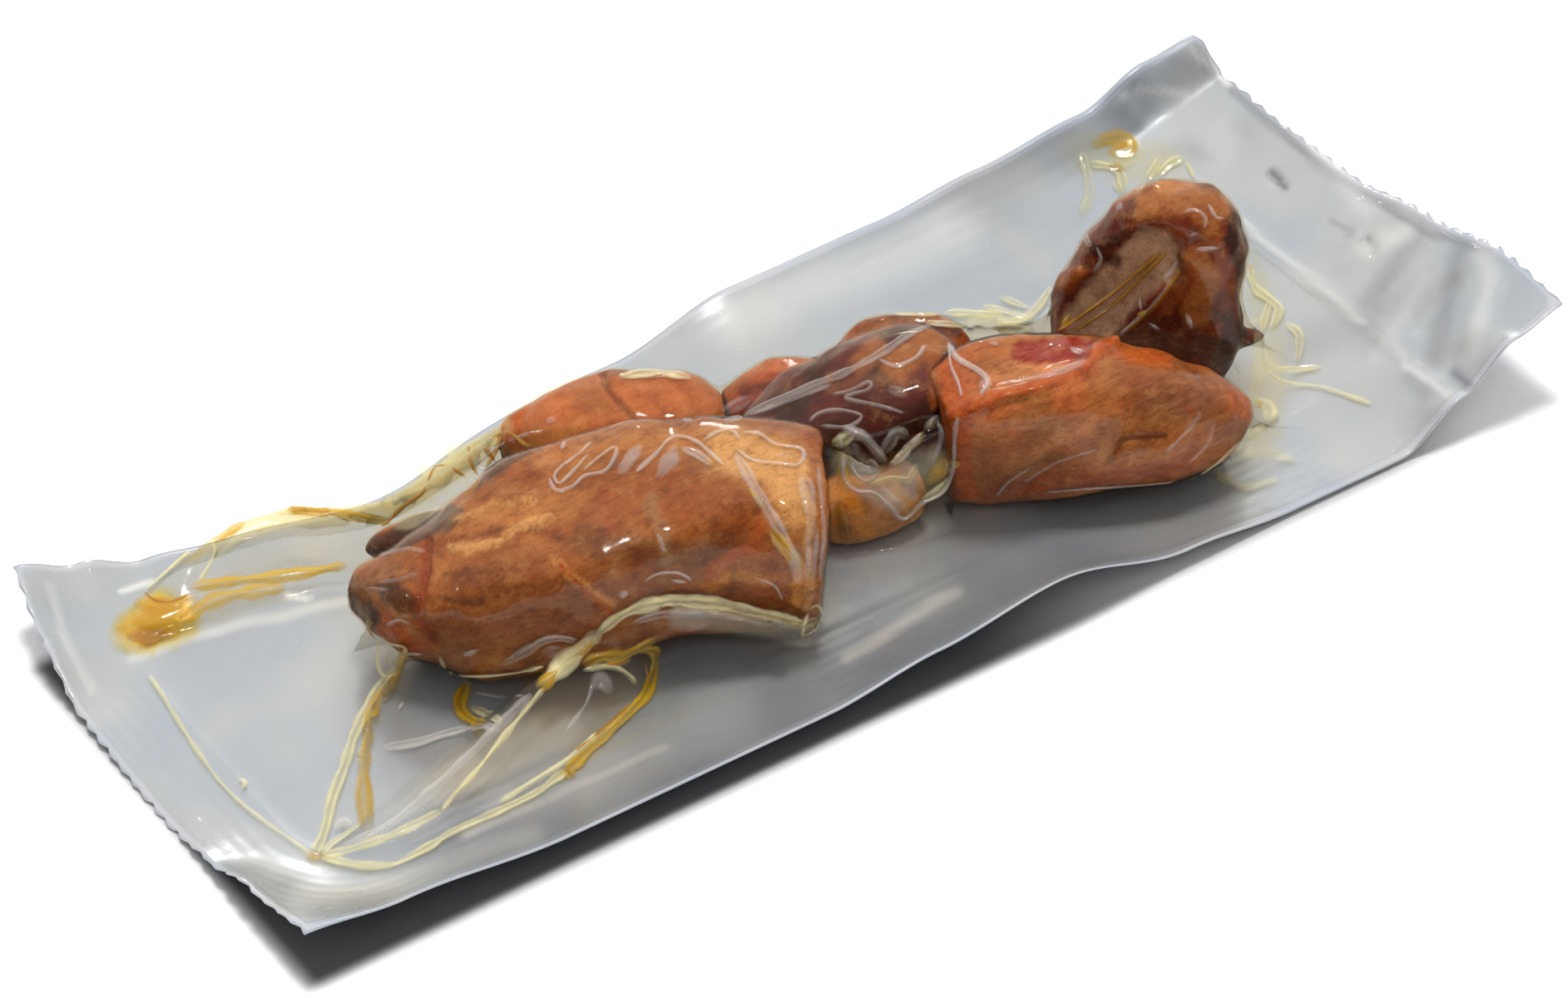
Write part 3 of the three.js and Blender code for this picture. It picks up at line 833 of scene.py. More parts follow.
@dataclass
class HamPiece:
    """One piece of ham, grown from its CAD solid, then furrowed and painted."""

    node: str
    slot: str
    tone: Tone
    second: Tone
    finish: HamFinish
    seed: float
    marks: tuple[Mark, ...] = ()
    lumps: tuple[Lump, ...] = ()
    fibre_turn: tuple[float, float, float] = (0, 0, 15)
    fibre_depth: float = 0.08
    voxel: float = 0.62
    swell: float = 0.12
    ragged: float = 9.0
    made: bpy.types.Object = field(init=False, repr=False, default=None)

    def source(self) -> bmesh.types.BMesh:
        """Returns the CAD solid's form as quads, with the piece's lumps on it."""
        work = bmesh.new()
        work.from_mesh(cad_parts[self.node].data)
        bmesh.ops.remove_doubles(work, verts=work.verts, dist=0.01 * MM)
        for lump in self.lumps:
            turned = Euler([math.radians(d) for d in lump.turn]).to_matrix().to_4x4()
            size = Matrix.Diagonal(Vector((*lump.radii, 1 / MM))) * MM
            bmesh.ops.create_icosphere(
                work, subdivisions=4, radius=1,
                matrix=Matrix.Translation(Vector(lump.middle) * MM) @ turned @ size,
            )
        return work

    def build(self) -> bpy.types.Object:
        """Makes the piece."""
        made = add_object(self.node.replace("ham_", "ham_piece_"), self.source())
        remesh = made.modifiers.new("even", "REMESH")
        remesh.mode = "VOXEL"
        remesh.voxel_size = self.voxel * MM
        apply_modifiers(made)
        relax(made.data, 4)
        self.swell_out(made.data)
        self.furrow(made.data)
        self.paint(made.data)
        shade_smooth(made.data)
        made.data.materials.clear()
        made.data.materials.append(self.finish.material())
        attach(made, BODY)
        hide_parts(self.node)
        self.made = made
        return made

    def swell_out(self, mesh: bpy.types.Mesh) -> None:
        """Gives back what smoothing took, with soft unevenness."""
        places = places_of(mesh)
        soft = 0.35 * noise_at(places, 0.11, self.seed) + 0.2 * noise_at(places, 0.25, self.seed)
        move_to(mesh, places + (self.swell + soft)[:, None] * normals_of(mesh))

    def furrow(self, mesh: bpy.types.Mesh) -> None:
        """Cuts fibres into the surface, and presses in or raises its marks."""
        places = places_of(mesh)
        turned = places @ np.array(Euler([math.radians(d) for d in self.fibre_turn]).to_matrix())
        fibres = noise_at(turned, np.array([0.05, 0.4, 0.4]), self.seed)
        depth = self.fibre_depth * (2.2 * fibres - np.abs(fibres)) + 0.15 * noise_at(places, 0.3, self.seed)
        sight = Sight(mesh, self.ragged * 0.4, self.seed)
        for mark in self.marks:
            if mark.lift:
                depth += mark.lift * mark.weights(sight.pixels) * sight.shown
        move_to(mesh, places + depth[:, None] * normals_of(mesh))

    def paint(self, mesh: bpy.types.Mesh) -> None:
        """Keeps the colour of every vertex as the tone attribute."""
        sight = Sight(mesh, self.ragged, self.seed)
        places = places_of(mesh)
        broad, fine = noise_at(places, 0.1, self.seed + 5), noise_at(places, 0.33, self.seed + 6)
        second = smoothstep(0.5 + 1.1 * noise_at(places, 0.14, self.seed + 7) + 0.3 * fine)[:, None]
        colours = self.tone.linear() * (1 - second) + self.second.linear() * second
        colours *= (1.0 + 0.3 * broad + 0.15 * fine)[:, None]
        for mark in self.marks:
            if mark.tone is None:
                continue
            share = (mark.share * mark.weights(sight.pixels) * sight.shown)[:, None]
            colours = colours * (1 - share) + mark.tone.linear() * (1 + 0.12 * fine)[:, None] * share
        store(mesh, "tone", colours)


def ham_pieces() -> list[HamPiece]:
    """Returns the eight pieces of ham with their marks."""
    return [
        HamPiece(
            "ham_front_left", "ham_brown", Tone.CARAMEL, Tone.AMBER_BROWN,
            HamFinish("ham_caramel", grain_turn=(0, 0, 20), fibre=0.35, mottle=0.6), 1.0,
            fibre_turn=(0, 0, 20),
            marks=(
                Mark(((560, 625), (620, 620), (680, 600)), 40, Tone.TAN, 0.6, soft=0.9),
                Mark(((600, 580), (650, 560), (700, 542), (760, 528)), 62, lift=1.6, soft=1.0),
                Mark(((560, 740), (640, 745), (720, 735)), 70, Tone.BROWN, 0.6, soft=0.8),
                Mark(((560, 700), (640, 690)), 40, Tone.BROWN, 0.6, soft=0.9),
                Mark(((540, 800), (620, 800)), 14, Tone.TAN, 0.4),
                Mark(((750, 600), (830, 600), (890, 610)), 48, Tone.AMBER_BROWN, 0.8, soft=0.9),
                Mark(((700, 650), (790, 665), (880, 665)), 30, Tone.DARK_BROWN, 0.55, soft=0.8),
                Mark(((786, 603), (795, 640), (798, 673)), 13, Tone.GREY_BROWN, 0.6, lift=0.5),
                Mark(((735, 640), (720, 600)), 12, Tone.RUST, 0.5),
                Mark(((850, 690), (905, 660), (925, 600)), 12, Tone.ORANGE, 0.6),
                Mark(((660, 560), (740, 535), (830, 525)), 30, Tone.TAN, 0.55, soft=0.9),
                Mark(((870, 540), (940, 560), (950, 620)), 44, Tone.CREAM, 0.75, soft=0.8),
                Mark(((990, 550), (992, 740)), 20, Tone.CARAMEL, 0.95, soft=0.4),
                Mark(((965, 560), (975, 650), (972, 730)), 7, Tone.CREAM, 0.6, lift=0.4),
                Mark(((945, 655), (962, 690), (958, 720)), 12, Tone.GOLD, 0.9),
                Mark(((669, 665), (688, 697), (716, 718), (737, 730)), 9, Tone.TAN, 0.95, lift=0.5),
                Mark(((676, 680), (700, 712), (735, 738)), 4, Tone.ORANGE, 0.9, lift=-0.5),
                Mark(((745, 735), (860, 715), (955, 742)), 14, Tone.BROWN, 0.6, lift=-0.6),
                Mark(((845, 705), (880, 690), (920, 700)), 9, Tone.GOLD, 0.5),
                Mark(((570, 584), (606, 558), (645, 540)), 9, Tone.PURPLE, 0.95),
                Mark(((690, 512), (745, 506)), 7, Tone.PURPLE, 0.8),
                Mark(((412, 688), (425, 715), (445, 742)), 15, Tone.PURPLE, 1.0, soft=0.35, lift=-0.5),
                Mark(((445, 655), (535, 622)), 20, Tone.PURPLE, 1.0, soft=0.3),
                Mark(((455, 705), (480, 730)), 16, Tone.DARK_BROWN, 0.8),
                Mark(((440, 685), (490, 665), (520, 655)), 15, Tone.AMBER_BROWN, 0.8),
                Mark(((436, 702), (465, 692), (505, 690)), 17, Tone.BROWN, 0.65, soft=0.8),
                Mark(((470, 715), (492, 725)), 22, Tone.DARK_BROWN, 0.9),
                Mark(((450, 700), (500, 690)), 5, Tone.TAN, 0.3, lift=0.3),
                Mark(((465, 755), (500, 775)), 16, Tone.ORANGE, 0.8),
                Mark(((514, 650), (504, 710), (506, 745), (523, 770)), 8, Tone.RUST, 0.85, lift=-0.9),
                Mark(((530, 655), (620, 636), (700, 650)), 6, Tone.BROWN, 0.5, lift=-0.5),
                Mark(((530, 690), (600, 690)), 5, Tone.BROWN, 0.5, lift=-0.4),
                Mark(((530, 722), (580, 730)), 5, Tone.BROWN, 0.5, lift=-0.4),
                Mark(((545, 628), (600, 606), (640, 600)), 6, Tone.CREAM, 0.6, lift=0.5),
                Mark(((548, 660), (600, 650), (660, 622)), 7, Tone.CREAM, 0.6, lift=0.5),
            ),
            lumps=(Lump((-69, 15.5, 16.6), (8.4, 2.2, 2.6), (0, -28, -35)),),
        ),
        HamPiece(
            "ham_front_right", "ham_orange", Tone.SALMON, Tone.CARAMEL,
            HamFinish("ham_orange", grain_turn=(0, -30, -28), fibre=0.5, mottle=0.4), 2.0,
            fibre_turn=(0, -30, -28), fibre_depth=0.14,
            marks=(
                Mark(((1200, 560), (1440, 520)), 60, Tone.CARAMEL, 0.55, soft=0.8),
                Mark(((1240, 540), (1330, 500), (1430, 480)), 14, Tone.PINK, 0.5, soft=0.9),
                Mark(((1370, 470), (1440, 470), (1480, 500)), 50, Tone.BROWN, 0.75, soft=0.8),
                Mark(((1380, 490), (1440, 485)), 34, Tone.PURPLE, 0.3, soft=0.9),
                Mark(((1190, 592), (1330, 575), (1420, 560)), 16, Tone.RUST, 0.7),
                Mark(((1138, 410), (1150, 500), (1165, 590)), 20, Tone.ORANGE, 1.0),
                Mark(((1200, 455), (1240, 445), (1290, 436)), 24, Tone.PINK, 0.6, lift=-0.8),
                Mark(((1150, 497), (1190, 478), (1250, 464), (1300, 442), (1335, 412)), 13,
                     Tone.ORANGE, 1.0, lift=1.2),
                Mark(((1225, 422), (1255, 422), (1300, 420)), 15, Tone.RED, 1.0, lift=-0.4, soft=0.35),
                Mark(((1340, 415), (1400, 430)), 14, Tone.ORANGE, 0.85, lift=0.5),
                Mark(((1490, 480), (1515, 510)), 18, Tone.ORANGE, 0.95),
                Mark(((1330, 555), (1350, 530), (1400, 525)), 5, Tone.BROWN, 0.9, lift=-0.6),
                Mark(((1420, 470), (1440, 520), (1430, 550)), 6, Tone.RUST, 0.5, lift=-0.3),
            ),
        ),
        HamPiece(
            "ham_far_right", "ham_dark", Tone.RUST, Tone.WINE,
            HamFinish("ham_rust", grain_turn=(70, 20, 0), fibre=0.35, mottle=0.5), 3.0,
            fibre_turn=(0, 80, 0),
            marks=(
                Mark(((1370, 245), (1420, 232), (1455, 250)), 30, Tone.CARAMEL, 0.95),
                Mark(((1395, 225), (1430, 222)), 14, Tone.TAN, 0.6),
                Mark(((1440, 262), (1462, 290)), 16, Tone.AMBER_BROWN, 0.9, lift=0.4),
                Mark(((1300, 330), (1325, 280), (1350, 250)), 19, Tone.WINE, 0.85),
                Mark(((1262, 350), (1295, 330)), 13, Tone.AMBER_BROWN, 0.95, lift=0.8),
                Mark(((1335, 290), (1370, 282), (1405, 290)), 12, Tone.MAROON, 0.9, lift=0.5),
                # the hollow: grey flesh with painted sheen of the film stretched over it
                Mark(((1310, 388), (1345, 345), (1390, 306)), 38, Tone.HOLLOW_AND_SHEEN, 1.0, lift=-1.4, soft=0.35),
                Mark(((1400, 300), (1412, 330)), 14, Tone.HOLLOW_AND_SHEEN, 0.8, lift=-0.5),
                Mark(((1318, 300), (1340, 315)), 14, Tone.MAROON, 0.8),
                Mark(((1395, 385), (1415, 350), (1425, 310)), 9, Tone.BROWN, 0.8, lift=0.6),
                Mark(((1440, 310), (1452, 340), (1435, 375)), 22, Tone.CARAMEL, 0.9, lift=0.7),
                Mark(((1485, 260), (1494, 340), (1492, 430)), 15, Tone.MAROON, 1.0),
                Mark(((1350, 410), (1420, 410), (1485, 430)), 26, Tone.PURPLE, 0.9),
                Mark(((1400, 385), (1425, 398)), 13, Tone.WINE, 0.8),
                Mark(((1470, 380), (1480, 430)), 12, Tone.MAROON, 0.9),
            ),
            lumps=(Lump((84, -16.5, 10.5), (3.6, 1.6, 1.6), (0, -10, -35)),),
        ),
        HamPiece(
            "ham_foot", "ham_brown", Tone.CARAMEL, Tone.TAN,
            HamFinish("ham_tan", grain_turn=(0, 0, 30), fibre=0.4), 5.0,
            marks=(
                Mark(((1020, 600), (1040, 640)), 14, Tone.GOLD, 0.7),
                Mark(((1075, 600), (1110, 625)), 18, Tone.CREAM, 0.7),
                Mark(((1060, 650), (1100, 645)), 8, Tone.GOLD, 0.6),
            ),
        ),
        HamPiece(
            "ham_middle", "ham_dark", Tone.MAROON, Tone.WINE,
            HamFinish("ham_maroon", grain_turn=(0, 0, 10), fibre=0.2, mottle=0.3), 4.0,
            marks=(
                Mark(((1080, 440), (1130, 405)), 26, Tone.CARAMEL, 0.9),
                Mark(((1120, 430), (1130, 480)), 14, Tone.AMBER_BROWN, 0.9, lift=0.6),
                Mark(((1030, 440), (1060, 415)), 18, Tone.CARAMEL, 0.7),
                Mark(((880, 505), (940, 475)), 12, Tone.PURPLE, 0.7),
                Mark(((1000, 470), (1060, 452), (1085, 470)), 10, Tone.GREY_BROWN, 0.25),
            ),
        ),
        HamPiece(
            "ham_back_left", "ham_orange", Tone.SALMON, Tone.CARAMEL,
            HamFinish("ham_smooth", grain_turn=(0, 0, -30), fibre=0.2, mottle=0.4), 6.0,
            marks=(
                Mark(((600, 520), (620, 500)), 16, Tone.ORANGE, 0.9),
                Mark(((610, 470), (680, 462), (720, 455)), 16, Tone.SALMON, 0.6),
                Mark(((725, 450), (740, 480), (758, 505)), 6, Tone.BROWN, 0.8, lift=-0.8),
                Mark(((770, 490), (850, 480), (890, 460)), 26, Tone.SALMON, 0.7),
                Mark(((640, 525), (700, 510)), 14, Tone.TAN, 0.5),
            ),
        ),
        HamPiece(
            "ham_back_middle", "ham_orange", Tone.AMBER_BROWN, Tone.BRICK,
            HamFinish("ham_red_orange", grain_turn=(0, 0, -30), fibre=0.2), 7.0,
            marks=(
                Mark(((880, 440), (940, 432), (985, 440)), 16, Tone.SALMON, 0.7),
                Mark(((900, 470), (960, 455)), 12, Tone.WINE, 0.8),
            ),
        ),
        HamPiece(
            "ham_back_right", "ham_dark", Tone.AMBER_BROWN, Tone.RUST,
            HamFinish("ham_brown", grain_turn=(0, 0, -30), fibre=0.3), 8.0,
            marks=(
                Mark(((1010, 425), (1060, 395)), 18, Tone.CARAMEL, 0.8),
                Mark(((1090, 392), (1150, 398)), 10, Tone.MAROON, 0.7),
                Mark(((1030, 400), (1075, 385)), 6, Tone.BROWN, 0.7, lift=-0.5),
            ),
        ),
    ]


# ------------------------------------------------------------------------------------ clear film


@dataclass(frozen=True)
class Tent:
    """Film standing off the ham: a ridge over a back and a front foot on the web."""

    ridge: tuple[tuple[float, float, float], ...]
    back: tuple[Pixel, ...]
    front: tuple[Pixel, ...]
    stations: int = 48
    rows: int = 20
    sag: float = 1.25

    def add_to(self, whole: bmesh.types.BMesh) -> None:
        """Adds the tent to a mesh as a closed solid that reaches under the film."""
        even = np.linspace(0, 1, self.stations + 1)
        ridge, back, front = (self.spread(line, even) for line in (self.ridge, self.back, self.front))
        work = bmesh.new()
        bmesh.ops.create_grid(work, x_segments=self.stations, y_segments=self.rows, size=1)
        tops = list(work.verts)
        extruded = bmesh.ops.extrude_face_region(work, geom=work.faces[:], use_keep_orig=True)
        bottoms = {v for v in extruded["geom"] if isinstance(v, bmesh.types.BMVert)}
        for v in tops + list(bottoms):
            i = int(round((v.co.x + 1) / 2 * self.stations))
            foot = back[i] if v.co.y > 0 else front[i]
            out = abs(v.co.y)
            if v in bottoms:
                x, y = front[i] + (back[i] - front[i]) * (v.co.y + 1) / 2
                v.co = Vector((x, y, -1.0)) * MM
                continue
            x, y = ridge[i][:2] + (foot - ridge[i][:2]) * out
            floor = float(ClearFilm.sheet_height(np.array([x]), np.array([y]))[0])
            rise = max(0.0, ridge[i][2] - floor) * (1 - out) ** self.sag
            v.co = Vector((x, y, floor + rise)) * MM
        bmesh.ops.recalc_face_normals(work, faces=work.faces)
        mesh = bpy.data.meshes.new("tent")
        work.to_mesh(mesh)
        work.free()
        whole.from_mesh(mesh)
        bpy.data.meshes.remove(mesh)

    @staticmethod
    def spread(line: Sequence[Sequence[float]], even: Array) -> Array:
        """Returns a smooth line's points at even shares of its knots."""
        smooth = through(line, 0.4)
        knots = np.array(line, float)
        at = [int(np.argmin(np.linalg.norm(smooth - k, axis=1))) for k in knots]
        where = np.interp(even * (len(knots) - 1), range(len(knots)), at)
        index = np.arange(len(smooth))
        return np.stack([np.interp(where, index, smooth[:, k]) for k in range(smooth.shape[1])], 1)


TENTS = {
    "back_tunnel": Tent(
        ((-112, 36, 2.5), (-103, 39, 6.5), (-92, 41, 10.3), (-79, 39.5, 11.6), (-72, 33, 12.6),
         (-62, 27, 15), (-50, 27, 18), (-41, 30, 18)),
        ((-113, 40), (-104, 44), (-93, 45), (-79, 43), (-71, 39), (-61, 37), (-50, 39), (-41, 41)),
        ((-112, 33), (-104, 30), (-92, 29), (-80, 27), (-73, 24), (-62, 18), (-52, 12), (-43, 16)),
    ),
    "tip_fin": Tent(
        ((-81, 10, 9), (-80, 2, 6), (-89, -5.5, 4.5), (-100.5, -16.5, 3.5), (-112, -27, 1.6)),
        ((-77, 9), (-76, 3), (-86, -2.5), (-97, -13.5), (-110, -26)),
        ((-85, 11), (-84, 1), (-92, -7), (-103, -18), (-113, -28)),
    ),
    "front_fin": Tent(
        ((-111, -29, 2), (-98, -27.5, 4), (-87, -25.5, 6), (-77, -22.5, 7.5), (-67, -19, 9.5),
         (-57.5, -19.5, 12), (-49.5, -22, 15.5), (-45, -24.8, 17.5), (-39, -28.6, 17.5),
         (-33.5, -32.3, 16), (-27, -34.6, 12), (-20.5, -34.4, 8)),
        ((-110, -26), (-96, -21), (-82, -16), (-71, -13), (-62, -11), (-54, -10), (-46, -11),
         (-41, -13), (-35, -17), (-30, -20), (-23, -25), (-17, -28)),
        ((-112, -31), (-101, -36), (-91, -36.5), (-80, -36), (-68, -34), (-57.5, -30),
         (-49, -23.5), (-43.5, -19.5), (-36, -19), (-30, -23.5), (-24, -27.5), (-17.5, -30)),
    ),
    "middle_crumple": Tent(
        ((-4, -10, 26), (1.5, -13, 20), (5.7, -15, 17), (10.5, -16, 21), (18, -17, 25)),
        ((-2, -3), (4, -5), (8, -6), (13, -7), (20, -8)),
        ((-4, -14), (0, -15.5), (5, -18), (12, -19.5), (18, -20)),
    ),
    "back_curtain": Tent(
        ((26, 9, 21), (36, 4.5, 22), (43.5, 2.7, 20), (52, 2, 18), (58, 3, 20)),
        ((28, 16), (38, 12), (46, 11), (54, 11), (60, 12)),
        ((26, 4), (35, -1), (42, -5), (50, -9), (57, -8)),
    ),
    "right_skirt": Tent(
        ((80, -15, 30), (86, -17, 12), (94, -19, 2)),
        ((84, -4), (89, -8), (95, -15)),
        ((76, -26), (85, -27), (94, -24)),
    ),
    "far_skirt": Tent(
        ((76, -1, 34), (82, 11, 15), (90, 24, 5)),
        ((66, 7), (72, 17), (84, 27)),
        ((86, -8), (91, 6), (96, 21)),
    ),
    "tip_skirt": Tent(
        ((69, -33, 14), (76, -34, 6), (84, -35, 1.8)),
        ((72, -25), (79, -29), (85, -33)),
        ((64, -38), (75, -38), (84, -37)),
    ),
}


@dataclass
class ClearFilm:
    """The film: one thin skin over the web and the ham, drawn up into its tents."""

    voxel: float = 0.85
    skin: float = 0.5
    wall: float = 0.15
    clearance: float = 0.5
    inset: float = 1.4
    slab: float = 4.0
    kept_share: float = 0.5
    juice: tuple[Mark, ...] = (
        Mark(((192, 728), (162, 758), (215, 745)), 30, share=1.0),
        Mark(((230, 665), (300, 622), (400, 612), (470, 600)), 20, share=0.3),
        Mark(((480, 600), (560, 540), (600, 510)), 32, share=0.45),
        Mark(((640, 812), (700, 770), (760, 740)), 14, share=0.4),
        Mark(((700, 900), (760, 830)), 26, share=0.15),
        Mark(((1010, 520), (1020, 600)), 16, share=0.4),
        Mark(((1110, 600), (1140, 540)), 18, share=0.4),
        Mark(((1300, 180), (1400, 200)), 34, share=0.12),
        Mark(((1500, 320), (1530, 420), (1520, 520)), 26, share=0.12),
    )
    # milky film with painted sheen: the front fin's face, the tunnel, the pool, the middle and the front
    # leg
    haze_and_sheen: tuple[Mark, ...] = (
        Mark(((820, 742), (900, 748), (965, 762)), 20, share=0.3, soft=0.5),
        Mark(((300, 625), (400, 615), (470, 603)), 12, share=0.3),
        Mark(((190, 730), (158, 762)), 24, share=0.7),
        Mark(((500, 590), (560, 550), (600, 512)), 22, share=0.3),
        Mark(((1020, 560), (1060, 590), (1120, 560)), 26, share=0.3),
        Mark(((470, 960), (560, 930), (680, 880)), 30, share=0.1),
    )

    @staticmethod
    def sheet_height(x: Array, y: Array) -> Array:
        """Returns the height of the film's outside where it lies on the web."""
        return SHAPE.underside(x, y) + BackingWeb.thickness + ClearFilm.clearance

    def whole(self, hams: Iterable[HamPiece]) -> bmesh.types.BMesh:
        """Returns ham, tents and a slab under the sheet as closed solids, the sheet laid flat."""
        whole = bmesh.new()
        for ham in hams:
            skin = ham.made.data.copy()
            move_to(skin, places_of(skin) + self.skin * normals_of(skin))
            whole.from_mesh(skin)
            bpy.data.meshes.remove(skin)
        for tent in TENTS.values():
            tent.add_to(whole)
        slab = bmesh.new()
        bmesh.ops.create_grid(slab, x_segments=160, y_segments=64, size=1)
        extruded = bmesh.ops.extrude_face_region(slab, geom=slab.faces[:], use_keep_orig=True)
        bottoms = {v for v in extruded["geom"] if isinstance(v, bmesh.types.BMVert)}
        for v in slab.verts:
            x, y = SHAPE.placed(
                np.array([v.co.x * (SHAPE.half_length + 1)]), np.array([v.co.y * (SHAPE.half_width + 1)])
            )
            z = self.sheet_height(x, y)[0] - (self.slab if v in bottoms else 0)
            v.co = Vector((x[0], y[0], z)) * MM
        bmesh.ops.recalc_face_normals(slab, faces=slab.faces)
        mesh = bpy.data.meshes.new("slab")
        slab.to_mesh(mesh)
        slab.free()
        whole.from_mesh(mesh)
        bpy.data.meshes.remove(mesh)
        x, y = (np.array([v.co[k] / MM for v in whole.verts]) for k in (0, 1))
        for v, floor in zip(whole.verts, self.sheet_height(x, y)):
            v.co.z -= floor * MM
        return whole

    def cut_free(self, mesh: bpy.types.Mesh) -> None:
        """Leaves the upper skin alone, and trims it to the film's outline."""
        work = bmesh.new()
        work.from_mesh(mesh)
        middles = np.array([f.calc_center_median() for f in work.faces]) / MM
        x, y, z = middles.T
        end_x, side_y = SHAPE.half_length - self.inset, SHAPE.half_width - self.inset
        flat_x, flat_y = SHAPE.flat(x, y)
        outside = (np.abs(flat_x) > end_x) | (np.abs(flat_y) > side_y)
        under = z < -1.2
        doomed = [f for f, out in zip(list(work.faces), outside | under) if out]
        bmesh.ops.delete(work, geom=doomed, context="FACES")
        rim = [v for v in work.verts if v.is_boundary]
        flat_x, flat_y = SHAPE.flat(*(np.array([v.co[k] / MM for v in rim]) for k in (0, 1)))
        flat_x = np.where(np.abs(flat_x) > end_x - self.voxel, np.sign(flat_x) * end_x, flat_x)
        flat_y = np.where(np.abs(flat_y) > side_y - self.voxel, np.sign(flat_y) * side_y, flat_y)
        for v, x, y in zip(rim, *SHAPE.placed(flat_x, flat_y)):
            v.co.x, v.co.y = x * MM, y * MM
        work.to_mesh(mesh)
        work.free()

    def settle(self, mesh: bpy.types.Mesh) -> None:
        """Bends the film back to the web, and lets it follow the web's relief where they touch."""
        places = places_of(mesh)
        x, y, above = places.T
        above = np.maximum(above, 0) * smoothstep((above - 0.2) / 1.0)
        relief = WEB.relief(x, y) * (1 - smoothstep((above - 0.5) / 3.0))
        places[:, 2] = self.sheet_height(x, y) + above + relief
        move_to(mesh, places)
        store(mesh, "raised", smoothstep((above - 1.0) / 4.0))

    def build(self, hams: Sequence[HamPiece]) -> bpy.types.Object:
        """Makes the film over the finished ham."""
        made = add_object("shrunk_film", self.whole(hams))
        remesh = made.modifiers.new("union", "REMESH")
        remesh.mode = "VOXEL"
        remesh.voxel_size = self.voxel * MM
        apply_modifiers(made)
        self.cut_free(made.data)
        relax(made.data, 5)
        self.settle(made.data)
        thin = made.modifiers.new("fewer", "DECIMATE")
        thin.ratio = self.kept_share
        apply_modifiers(made)
        self.paint(made.data)
        shade_smooth(made.data)
        made.data.materials.clear()
        made.data.materials.append(FilmFinish().material())
        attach(made, BODY)
        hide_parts("clear_film")
        return made

    def paint(self, mesh: bpy.types.Mesh) -> None:
        """Keeps how much juice shows through each vertex, and where the film is milky with painted sheen.
        """
        sight = Sight(mesh, 3.0, 9.0)
        for name, marks in (("juice", self.juice), ("haze_and_sheen", self.haze_and_sheen)):
            amount = np.zeros(len(mesh.vertices))
            for mark in marks:
                amount = np.maximum(amount, mark.share * mark.weights(sight.pixels) * sight.shown)
            store(mesh, name, amount)

    def thicken(self, made: bpy.types.Object) -> None:
        """Gives the film its wall."""
        wall = made.modifiers.new("wall", "SOLIDIFY")
        wall.thickness = self.wall * MM
        wall.offset = -1


class Tint(Enum):
    """What a fold of film shows: the light it lets through, its own colour, and how milky it is."""

    # clear folds are raised creases of film whose whitish milky colour is painted highlight: glints, sheen
    # and crease highlights
    CLEAR = ("clear", (0.97, 0.96, 0.95, 1), (0.8, 0.71, 0.64, 1), 0.38)
    PALE = ("pale", (0.97, 0.92, 0.6, 1), (0.95, 0.85, 0.46, 1), 0.6)
    GOLD = ("gold", (0.88, 0.6, 0.06, 1), (0.8, 0.48, 0.02, 1), 0.5)
    AMBER = ("amber", (0.76, 0.44, 0.06, 1), (0.52, 0.24, 0.015, 1), 0.65)


@dataclass(frozen=True)
class FoldFinish:
    """Glossy film gathered into a fold, streaked along it and fading out at its edges."""

    tint: Tint
    roughness: float = 0.12
    shine: float = 0.06
    streaks: float = 1.3
    ripple: float = 0.00008

    def material(self) -> bpy.types.Material:
        """Returns the material."""
        label, clear, milky, milk = self.tint.value
        s = Shader(f"film_fold_{label}")
        core = s.attribute("core")
        across = s.maths("MULTIPLY", s.attribute("across"), self.streaks)
        along = s.maths("MULTIPLY", s.attribute("along"), 0.1)
        flow = s.node("CombineXYZ", {0: across, 1: along, 2: s.noise(s.places(), 60, 1)}).outputs[0]
        streak = s.noise(flow, 1.6, 3)
        patchy = s.maths("MULTIPLY", core, s.ramp(streak, 0.3, 0.66, 0.6, 1.2))
        filter_colour = s.blend(patchy, (1, 1, 1, 1), clear)
        see_through = s.node("BsdfTransparent", {"Color": filter_colour}).outputs[0]
        bumps = s.bump(streak, 1.0, self.ripple)
        light = s.blend(s.ramp(streak, 0.55, 0.8), milky, s.blend(0.22, milky, (0.9, 0.88, 0.8, 1)))
        body = s.node("BsdfDiffuse", {"Color": light, "Normal": bumps}).outputs[0]
        cloudy = s.node("MixShader", {0: s.maths("MULTIPLY", patchy, milk), 1: see_through, 2: body})
        gloss = s.node("BsdfGlossy", {"Roughness": self.roughness, "Normal": bumps}).outputs[0]
        edge = s.node("LayerWeight", {"Blend": 0.5, "Normal": bumps}).outputs["Facing"]
        share = s.ramp(s.maths("POWER", edge, 3.0), 0.0, 1.0, self.shine, 0.4)
        glossy = s.maths("MULTIPLY", share, s.ramp(core, 0.0, 0.4))
        return s.surface(s.node("MixShader", {0: glossy, 1: cloudy.outputs[0], 2: gloss}).outputs[0])


@dataclass(frozen=True)
class Fold:
    """A band of gathered film along a line of pixels, standing a little out of the film."""

    line: tuple[Pixel, ...]
    width: float = 4.5
    share: float = 0.8
    height: float = 0.2

    def cover(self, across: float) -> float:
        """Returns how strong the tint is at a share of the half width, strongest at two edges."""
        hollow = 0.6 if 6 < self.width < 15 and self.height > 0.1 else 0.0
        middle, edges = (1 - across**2) ** 0.8, math.sin(math.pi * abs(across)) ** 1.3
        return self.share * ((1 - hollow) * middle + hollow * edges)


